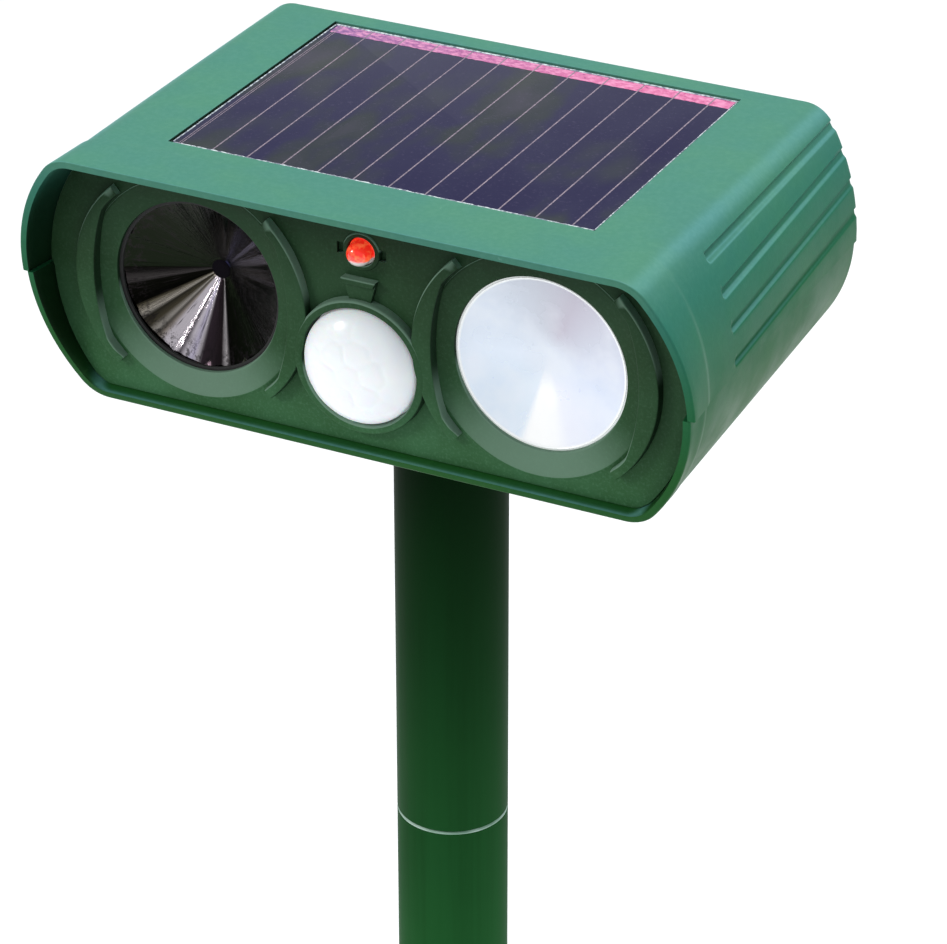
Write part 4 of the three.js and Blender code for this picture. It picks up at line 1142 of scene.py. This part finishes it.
def status_light():
    """Red 5 mm LED, with its flange behind the plate and two legs."""
    tip = LED_LOW.y
    profile = [(2.5 * math.sin(math.pi / 2 * step / 10),
                tip + 2.5 * (1 - math.cos(math.pi / 2 * step / 10))) for step in range(11)]
    profile += [(2.5, -37.75), (2.62, -37.65), (2.85, -37.6), (2.85, -36.7), (2.5, -36.6),
                (0.0, -36.6)]
    make("led_dome", *turned(profile, (0, LED_Z), "Y", 64), LED, "head",
         ("status_led",), "red_led", 30)
    legs = Parts()
    for x in (-1.27, 1.27):
        legs.add(*prism(rectangle(x - 0.25, x + 0.25, LED_Z - 0.25, LED_Z + 0.25, 0.08),
                        -36.6, -31.3, "Y"))
    legs.piece("led_legs", STEEL, "head", slot="steel")


# ---- Solar panel ---------------------------------------------------------------------------

def solar_panel():
    """A resin slab with a film below its face: cells, silver lines, foil strip and edges."""
    x0, x1, y0, y1 = PANEL_LOW.x, PANEL_HIGH.x, PANEL_LOW.y, PANEL_HIGH.y
    top = PANEL_HIGH.z + 0.25
    slab = prism(rectangle(x0, x1, y0, y1, 0.15), PANEL_LOW.z, top, "Z", 0.1)
    make("solar_slab", *slab, FILM, "head", ("solar_panel",), "solar_cells", 30)
    first, pitch, count = x0 + 9.1, 7.87, 11
    lines = Parts()
    for index in range(count):
        x = first + pitch * index
        wander = 0.03 * math.sin(index * 2.3)
        lines.add(*prism(rectangle(x - 0.15 + wander, x + 0.15 + wander, y0 + 0.5, y1 - 0.35),
                         top - 0.02, top + 0.035, "Z"))
    for x in (x0 + 1.5, x0 + 2.0):
        lines.add(*prism(rectangle(x - 0.08, x + 0.08, y0 + 0.5, y1 - 0.4),
                         top - 0.02, top + 0.03, "Z"))
    lines.piece("solar_lines", LINE, "head", slot="solar_cells")
    draw = random.Random(3)
    width, steps = 3.7, 120
    strip_x = [x0 + 0.8 + (x1 - x0 - 1.2) * step / steps for step in range(steps + 1)]
    outline = [(x, y1 - 0.75) for x in strip_x]
    outline += [(x, y1 - 0.75 - width + draw.uniform(-0.12, 0.12)) for x in reversed(strip_x)]
    make("solar_strip", *prism(outline, top - 0.02, top + 0.025, "Z"), STRIP, "head",
         slot="solar_cells")
    edges = Parts()
    for outline in (
        ragged(draw, x0 + 0.05, x1 - 0.05, y1 - 0.72, y1 - 0.02, 0.05),
        ragged(draw, x0 + 0.05, x1 - 0.05, y0 + 0.05, y0 + 0.85, 0.3),
        rectangle(x1 - 0.24, x1 - 0.02, y0 + 0.3, y1 - 0.3),
        rectangle(x0 + 0.02, x0 + 0.34, y0 + 0.3, y1 - 0.3),
    ):
        edges.add(*prism(outline, top - 0.05, top + 0.06, "Z"))
    edges.piece("solar_edges", EDGE, "head", slot="solar_cells")


def ragged(draw, x0, x1, y0, y1, amount):
    """A thin strip along X whose long sides are chipped."""
    steps = 150
    across = [x0 + (x1 - x0) * step / steps for step in range(steps + 1)]
    lower = [(x, y0 + draw.uniform(0, amount)) for x in across]
    upper = [(x, y1 - draw.uniform(0, amount)) for x in reversed(across)]
    return lower + upper


# ---- Rear plate and controls ---------------------------------------------------------------

KNOB_LOW, KNOB_HIGH = node_box("frequency_knob")
SWITCH_LOW, SWITCH_HIGH = node_box("power_switch_slider")
JACK_LOW, JACK_HIGH = node_box("charge_jack")
PLUG_LOW, PLUG_HIGH = node_box("charge_port_plug")
PIN_LOW, PIN_HIGH = node_box("battery_door_pin")
KNOB_X = 34.0
KNOB_Z = (KNOB_LOW.z + KNOB_HIGH.z) / 2
KNOB_R = 8.5
SIGN_X = 8.4  # the switch's on and off signs
REAR_CUT = (36, 46, "Y")
SWITCH_Z = (SWITCH_LOW.z + SWITCH_HIGH.z) / 2
JACK_Z = (JACK_LOW.z + JACK_HIGH.z) / 2
REAR_SCREW_X, REAR_SCREW_RISE = 64.4, 10.0
REAR_SCREWS = [(x, HEAD_MID + rise) for x in (-REAR_SCREW_X, REAR_SCREW_X)
               for rise in (-REAR_SCREW_RISE, REAR_SCREW_RISE)]
REAR_FACE = REAR_HIGH.y


def rear_plate():
    """Back cover: wells for the controls, screw holes, dial ticks and a raised border."""
    sheet = prism(head_outline(41.0, WALL + GAP + 0.1, 24.9, 16), REAR_LOW.y, REAR_FACE, "Y", 0.3)
    cutters = [prism(moved(ring_outline(3.3, 64), x, KNOB_Z), *REAR_CUT)
               for x in (-KNOB_X, KNOB_X)]
    cutters += [prism(moved(ring_outline(3.8, 64), 0, JACK_Z), *REAR_CUT),
                prism(rectangle(-4.6, 4.6, SWITCH_Z - 2.3, SWITCH_Z + 2.3, 0.6), *REAR_CUT)]
    cutters += [prism(moved(ring_outline(1.8, 32), *place), *REAR_CUT)
                for place in REAR_SCREWS]
    settle("rear_sheet", carve(*sheet, cutters), PLATE, "head", ("rear_panel",),
           30)
    sunk, mark_top, trim_top = REAR_FACE - 0.1, REAR_FACE + 0.2, REAR_FACE + 0.45

    def band(inner, outer, top, edge, x, z, segments):
        return lathe([(inner, sunk), (inner, top), (outer, top), (outer, sunk)], edge, (x, z),
                     "Y", segments)

    marks, trim, half = Parts(), Parts(), 0.22
    for x in (-KNOB_X, KNOB_X):
        for index in range(11):
            angle = math.radians(-50 + 28 * index)
            inner, outer = KNOB_R + 1.2, KNOB_R + (3.2 if index % 5 == 0 else 2.4)
            c, n = math.cos(angle), math.sin(angle)
            corners = [
                (x + c * r - n * s, KNOB_Z + n * r + c * s)
                for r, s in ((inner, -half), (outer, -half), (outer, half), (inner, half))
            ]
            marks.add(*prism(corners, sunk, mark_top, "Y", 0.05))
    marks.add(*band(0.9, 1.45, mark_top, 0.05, -SIGN_X, SWITCH_Z, 32))
    marks.add(*prism(rectangle(SIGN_X - 0.3, SIGN_X + 0.3, SWITCH_Z - 1.3, SWITCH_Z + 1.3),
                     sunk, mark_top, "Y", 0.05))
    marks.piece("rear_marks", MARK, "head", slot="white_plastic")
    trim.add(*border(rectangle(-13.5, 13.5, SWITCH_Z - 5.4, SWITCH_Z + 5.4, 2.0), 0.7, sunk,
                     trim_top))
    trim.add(*band(6.3, 7.2, trim_top, 0.2, 0, JACK_Z, 72))
    for x in (-KNOB_X, KNOB_X):
        trim.add(*band(12.6, 13.3, trim_top, 0.2, x, KNOB_Z, 96))
    trim.piece("rear_trim", PLATE, "head", slot="green_panel")


def border(outline, width, low, high):
    """A raised closed frame along an outline drawn in X and Z."""
    count, bevel = len(outline), 0.15
    cx, cz = (sum(point[part] for point in outline) / count for part in (0, 1))
    half_w, half_h = max(x for x, _ in outline) - cx, max(z for _, z in outline) - cz
    levels = [(0.0, low), (0.0, high - bevel), (bevel, high), (width - bevel, high),
              (width, high - bevel), (width, low)]
    rings = [[(cx + (x - cx) * (1 - inset / half_w), y, cz + (z - cz) * (1 - inset / half_h))
              for x, z in outline] for inset, y in levels]
    return skin(rings, closed=True)


def knob(name, x, node):
    """Dial knob: a skirt, a fluted drum, a grip bar and a pale pointer line."""
    face, tip = KNOB_LOW.y, KNOB_HIGH.y
    rear = 42.5
    parts = Parts()
    parts.add(*lathe([
        (0.0, rear, 0), (KNOB_R, rear, 0.2), (KNOB_R, rear + 1.9, 0.5), (KNOB_R - 1.3, rear + 3.0),
        (0.0, rear + 3.0, 0),
    ], 0.4, (x, KNOB_Z), "Y", 96))
    flutes = []
    for index in range(144):
        angle = 2 * math.pi * index / 144
        radius = 5.9 + 0.22 * math.cos(18 * angle)
        flutes.append((x + radius * math.cos(angle), KNOB_Z + radius * math.sin(angle)))
    parts.add(*prism(flutes, rear + 2.6, tip - 1.2, "Y", 0.5))
    grip = rounded([(x - 1.7, KNOB_Z - 7.2), (x + 1.7, KNOB_Z - 7.2),
                    (x + 1.9, KNOB_Z + 7.2), (x - 1.9, KNOB_Z + 7.2)], 1.2, 6)
    parts.add(*prism(grip, rear + 2.6, tip - 0.02, "Y", 0.5))
    shaft = turned([(0.0, face + 0.1), (2.8, face + 0.1), (2.8, rear + 0.4), (0.0, rear + 0.4)],
                   (x, KNOB_Z), "Y", 48)
    parts.add(*shaft)
    parts.piece(name, BLACK, name.replace("dial_", "") + "_knob", (node,), "black_plastic")
    line = prism(rectangle(x - 0.3, x + 0.3, KNOB_Z + 1.0, KNOB_Z + 6.4, 0.25),
                 tip - 0.15, tip - 0.005, "Y")
    make(name + "_line", *line, MARK, name.replace("dial_", "") + "_knob", slot="white_plastic")


def power_switch():
    """Slider with three grip ridges."""
    centre = (SWITCH_LOW.x + SWITCH_HIGH.x) / 2
    foot, tip = SWITCH_LOW.y, SWITCH_HIGH.y
    parts = Parts()
    parts.add(*prism(rectangle(centre - 5, centre + 5, SWITCH_Z - 2.3, SWITCH_Z + 2.3, 0.3),
                     foot, foot + 3, "Y", 0.15))
    parts.add(*prism(rectangle(centre - 2.3, centre + 2.3, SWITCH_Z - 2, SWITCH_Z + 2, 0.4),
                     foot + 2, tip - 0.5, "Y", 0.25))
    for step in (-1.4, 0.0, 1.4):
        parts.add(*prism(rectangle(centre + step - 0.35, centre + step + 0.35,
                                   SWITCH_Z - 1.8, SWITCH_Z + 1.8, 0.2),
                         tip - 0.9, tip, "Y", 0.2))
    parts.piece("switch_slider", BLACK, "power_switch", ("power_switch_slider",),
                "black_plastic")


def charging_inlet():
    """Round inlet with a centre pin, and its soft cap on a waisted strap."""
    front, nose = JACK_LOW.y, JACK_HIGH.y
    parts = Parts()
    parts.add(*lathe([
        (2.75, front + 1.5), (3.5, front + 1.5), (3.5, nose), (2.75, nose),
    ], 0.15, (0, JACK_Z), "Y", 64))
    parts.add(*prism(rectangle(-4.8, 4.8, JACK_Z - 5, JACK_Z + 5, 0.3), front, front + 1.9,
                     "Y", 0.15))
    parts.piece("inlet_body", BLACK, "head", ("charge_jack",), "black_plastic")
    pin = turned([(0.0, front + 1.2), (0.8, front + 1.2), (0.8, nose - 2.2), (0.5, nose - 1.8),
                  (0.0, nose - 1.8)], (0, JACK_Z), "Y", 32)
    make("inlet_pin", *pin, STEEL, "head", slot="steel")
    face = REAR_FACE + GAP
    low = PLUG_LOW.z + 0.9
    cap = Parts()
    cap.add(*lathe([
        (0.0, face, 0), (5.4, face), (5.4, face + 1.5, 0.5), (4.6, face + 1.8, 0.3),
        (0.0, face + 1.8, 0),
    ], 0.3, (0, JACK_Z), "Y", 72))
    waist = [(-2.2, low), (2.2, low), (1.9, low + 1.6), (1.6, low + 3), (1.9, JACK_Z - 4.4),
             (2.2, JACK_Z - 3.5), (-2.2, JACK_Z - 3.5), (-1.9, JACK_Z - 4.4), (-1.6, low + 3),
             (-1.9, low + 1.6)]
    cap.add(*prism(rounded(waist, 0.5), face, face + 1.1, "Y", 0.25))
    root = lathe([(0.0, -3.4, 0), (0.88, -3.4), (0.88, 3.4), (0.0, 3.4, 0)], 0.25,
                  (face + 0.9, low), "X", 32)
    cap.add(*root)
    cap.add(*prism(rectangle(-1.6, 1.6, JACK_Z + 3.4, JACK_Z + 5.0, 0.5), face + 0.6,
                   PLUG_HIGH.y, "Y", 0.3))
    cap.piece("inlet_cap", RUBBER, "charge_plug", ("charge_port_plug",), "black_rubber")


# ---- Battery door and screws ---------------------------------------------------------------

def battery_door():
    """Ribbed door with rounded knuckles, a finger pull and its steel pin."""
    x0, x1, y0, y1 = DOORWAY
    floor = HEAD_MID - HALF_HEIGHT + 0.45
    parts = Parts()
    parts.add(*prism(rectangle(x0, x1, y0, y1, 0.9), floor, floor + 2, "Z", 0.3))
    for index in range(9):
        x = x0 + 3.6 + index * 3.9
        parts.add(*prism(rectangle(x - 0.6, x + 0.6, y0 + 9.5, y1 - 9.5, 0.55),
                         floor - 0.4, floor + 0.4, "Z", 0.25))
    parts.add(*prism(rectangle(-42, -32, y1 - 6, y1 - 4, 0.6), floor - 1.2, floor + 0.5,
                     "Z", 0.4))
    for low, high in KNUCKLE_SPANS:
        ring = rounded([(1.15, low), (BARREL_R, low), (BARREL_R, high), (1.15, high)], 0.25)
        parts.add(*turned(ring, (HINGE_Y, HINGE_Z), "X", 48))
        arm = [(HINGE_Y + 1.3, HINGE_Z - 0.9), (y0 + 6, HINGE_Z - 0.9), (y0 + 6, floor + 0.6),
               (y0 + 0.1, floor + 0.6), (y0 + 0.1, HINGE_Z + 1.5), (HINGE_Y + 1.3, HINGE_Z + 1.5)]
        parts.add(*prism(rounded(arm, 0.35), low, high, "X", 0.3))
    parts.piece("door_panel", SHELL, "battery_door", ("battery_door",), "green_shell", 40)
    pin = lathe([(0.0, PIN_LOW.x, 0), (0.8, PIN_LOW.x), (0.8, PIN_HIGH.x),
                          (0.0, PIN_HIGH.x, 0)], 0.2, (HINGE_Y, HINGE_Z), "X", 40)
    make("door_pin", *pin, STEEL, "head", ("battery_door_pin",), "steel")


def screw(name, node, place, axis, seat, tall, end):
    """Pan-head screw with a cross recess; seat is its washer face and end its tip."""
    away = 1 if seat > end else -1
    top = seat + away * tall
    head = turned(rounded([
        (0.0, top, 0), (1.6, top - away * 0.02, 0.8), (2.8, seat + away * 0.7, 0.7),
        (2.8, seat, 0.15), (1.4, seat, 0.1), (1.4, end - away * -1.2, 0.2), (0.4, end),
        (0.0, end, 0),
    ], 0.2, 5), place, axis, 48)
    cutters = []
    for wide, narrow in ((1.5, 0.3), (0.3, 1.5)):
        outline = moved(rectangle(-wide, wide, -narrow, narrow), *place)
        low, high = sorted((top - away * 0.95, top + away * 1.0))
        cutters.append(prism(outline, low, high, axis))
    settle(name, carve(*head, cutters), STEEL, "head", (node,), 30)


def screws():
    for side, x in (("left", -SCREW_X), ("right", SCREW_X)):
        low, high = node_box("case_screw_" + side)
        screw("screw_case_" + side, "case_screw_" + side, (x, SCREW_Y), "Z", low.z + 1.8, 1.75,
              high.z)
    for side, x in (("left", -REAR_SCREW_X), ("right", REAR_SCREW_X)):
        for level, rise in (("upper", REAR_SCREW_RISE), ("lower", -REAR_SCREW_RISE)):
            node = f"rear_screw_{level}_{side}"
            low, high = node_box(node)
            screw(f"screw_{level}_{side}", node, (x, HEAD_MID + rise), "Y",
                  high.y - 1.6, 1.55, low.y)


# ---- Pole and spike ------------------------------------------------------------------------

JOINT_Z = UPPER_LOW.z - GAP
SPIGOT_R = 10.0
SPIGOT_BORE = 8.2
BORE = 10.3


def tubes():
    """Two pole sections. The lower one's chamfered shoulder shows at the joint, with a painted
    highlight along it.
    """
    upper = rounded([
        (BORE, UPPER_LOW.z, 0.2), (POLE_R, UPPER_LOW.z, 0.25), (POLE_R, UPPER_HIGH.z, 0.8),
        (BORE, UPPER_HIGH.z, 0.2),
    ], 0.2)
    make("tube_upper", *turned(upper, (0, 0), "Z", 160), POLE, "upper_tube", ("upper_tube",),
         "green_pole")
    top, base = LOWER_HIGH.z, LOWER_LOW.z
    lower = rounded([
        (BORE, base, 0.2), (POLE_R, base, 0.25), (POLE_R, JOINT_Z - 0.55, 0.15),
        (POLE_R - 0.55, JOINT_Z, 0.25), (SPIGOT_R, JOINT_Z, 0.1), (SPIGOT_R, top - 1, 0.3),
        (SPIGOT_R - 1, top, 0.3), (SPIGOT_BORE, top, 0.2), (SPIGOT_BORE, JOINT_Z - 4, 0.2),
        (BORE, JOINT_Z - 6, 0.2),
    ], 0.2)
    make("tube_lower", *turned(lower, (0, 0), "Z", 160), POLE, "lower_tube", ("lower_tube",),
         "green_pole")
    # The chamfer ring at the joint, pale with a painted highlight.
    ring = rounded([
        (POLE_R - 0.75, JOINT_Z - 0.2), (POLE_R - 0.12, JOINT_Z - 0.5),
        (POLE_R - 0.06, JOINT_Z - 0.28), (POLE_R - 0.5, JOINT_Z + 0.06),
    ], 0.08)
    make("tube_joint_edge", *turned(ring, (0, 0), "Z", 160), PAINTED_JOINT_HIGHLIGHT, "lower_tube",
         slot="green_pole")


def spike():
    """Collar, spigot and four ribbed blades that taper to a point."""
    collar_r, collar_top = 15.0, 4.0
    top = SPIKE_HIGH.z
    parts = Parts()
    parts.add(*lathe([
        (0.0, 0.0, 0), (collar_r, 0.0, 0.5), (collar_r, collar_top - 0.6, 0.6),
        (collar_r - 1.2, collar_top, 0.5), (SPIGOT_R, collar_top, 0.3), (SPIGOT_R, top - 1, 0.3),
        (SPIGOT_R - 1, top, 0.3), (SPIGOT_BORE, top, 0.2), (SPIGOT_BORE, collar_top, 0.3),
        (0.0, collar_top, 0),
    ], 0.3, (0, 0), "Z", 128))
    taper, tip = -20.0, SPIKE_LOW.z
    half, thick = 12.0, 2.8
    blade = rounded([
        (-half, 0.8), (-half, taper, 5), (-1.1, tip, 0.6), (1.1, tip, 0.6), (half, taper, 5),
        (half, 0.8),
    ], 1.0, 8)
    for turn in (0, 1):
        vertices, faces = prism(blade, -thick / 2, thick / 2, "Y", 0.7)
        if turn:
            vertices = [(-y, x, z) for x, y, z in vertices]
        parts.add(vertices, faces)
    for turn in range(4):
        angle = math.pi / 2 * turn + math.pi / 4
        rib = [(0.0, -0.5), (7.5, -0.5), (0.0, -17.0)]
        vertices, faces = prism(rounded(rib, 0.6), -0.7, 0.7, "Y", 0.3)
        parts.add([(x * math.cos(angle) - y * math.sin(angle),
                    x * math.sin(angle) + y * math.cos(angle), z)
                   for x, y, z in vertices], faces)
    parts.piece("spike_body", POLE, "spike", ("ground_spike",), "green_pole")


# ---- CAD nodes that stay inside, with their finishes ---------------------------------------

def dress_inner_nodes():
    finishes = {
        BLACK: ("speaker_frame", "driver_chip"),
        BRASS: ("piezo_element",),
        FOIL: ("flash_reflector",),
        WHITE: ("flash_led",),
        STEEL: ("pir_sensor", "frequency_potentiometer", "sensitivity_potentiometer",
                "power_switch_body", "battery_contacts_front", "battery_contacts_rear"),
        BOARD: ("sensor_board", "control_board"),
        WRAP: ("battery_1", "battery_2", "battery_3"),
    }
    for material, nodes in finishes.items():
        for node in nodes:
            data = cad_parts[node].data
            data.materials.clear()
            data.materials.append(material)


# ---- Stage ---------------------------------------------------------------------------------

def stage():
    """Pale floor under the spike's tip, a pale sky and soft lights."""
    half = 4.0
    level = SPIKE_LOW.z * MM - 0.0002
    mesh = bpy.data.meshes.new("floor")
    mesh.from_pydata([(-half, -half, level), (half, -half, level), (half, half, level),
                      (-half, half, level)], [], [(0, 1, 2, 3)])
    floor = bpy.data.objects.new("floor", mesh)
    bpy.context.scene.collection.objects.link(floor)
    paint = Paint("floor", grey(0.95), 0.9, Specular_IOR_Level=0.0)
    cloud = paint.noise(3, 2)
    paint.set("Base Color", paint.mix(cloud, grey(0.94), grey(0.96)))
    mesh.materials.append(paint.material)

    world = bpy.data.worlds.new("sky")
    bpy.context.scene.world = world
    world.use_nodes = True
    background = world.node_tree.nodes["Background"]
    background.inputs["Color"].default_value = (0.94, 0.97, 1.0, 1)
    background.inputs["Strength"].default_value = 0.44
    bpy.context.scene.view_settings.view_transform = "Standard"

    def area(name, place, aim, size, power, color):
        data = bpy.data.lights.new(name, "AREA")
        data.shape = "DISK"
        data.size = size
        data.energy = power
        data.color = color
        light = bpy.data.objects.new(name, data)
        bpy.context.scene.collection.objects.link(light)
        light.location = place
        toward = Vector(aim) - Vector(place)
        light.rotation_euler = toward.to_track_quat("-Z", "Y").to_euler()

    head = (0, 0, 0.25)
    area("key", (-1.5, -1.2, 1.3), head, 0.6, 16, (1.0, 0.99, 0.96))
    area("sky_panel", (0.1, 0.7, 2.2), head, 1.4, 40, (0.96, 0.98, 1.0))
    area("side", (1.7, 0.0, 0.8), head, 0.9, 5, (0.92, 0.98, 1.0))


# ---- Everything ----------------------------------------------------------------------------

top_shell()
bottom_shell()
face_plate()
horn()
lamp()
sensor_dome()
status_light()
solar_panel()
rear_plate()
knob("dial_frequency", -KNOB_X, "frequency_knob")
knob("dial_sensitivity", KNOB_X, "sensitivity_knob")
power_switch()
charging_inlet()
battery_door()
screws()
tubes()
spike()
dress_inner_nodes()
stage()
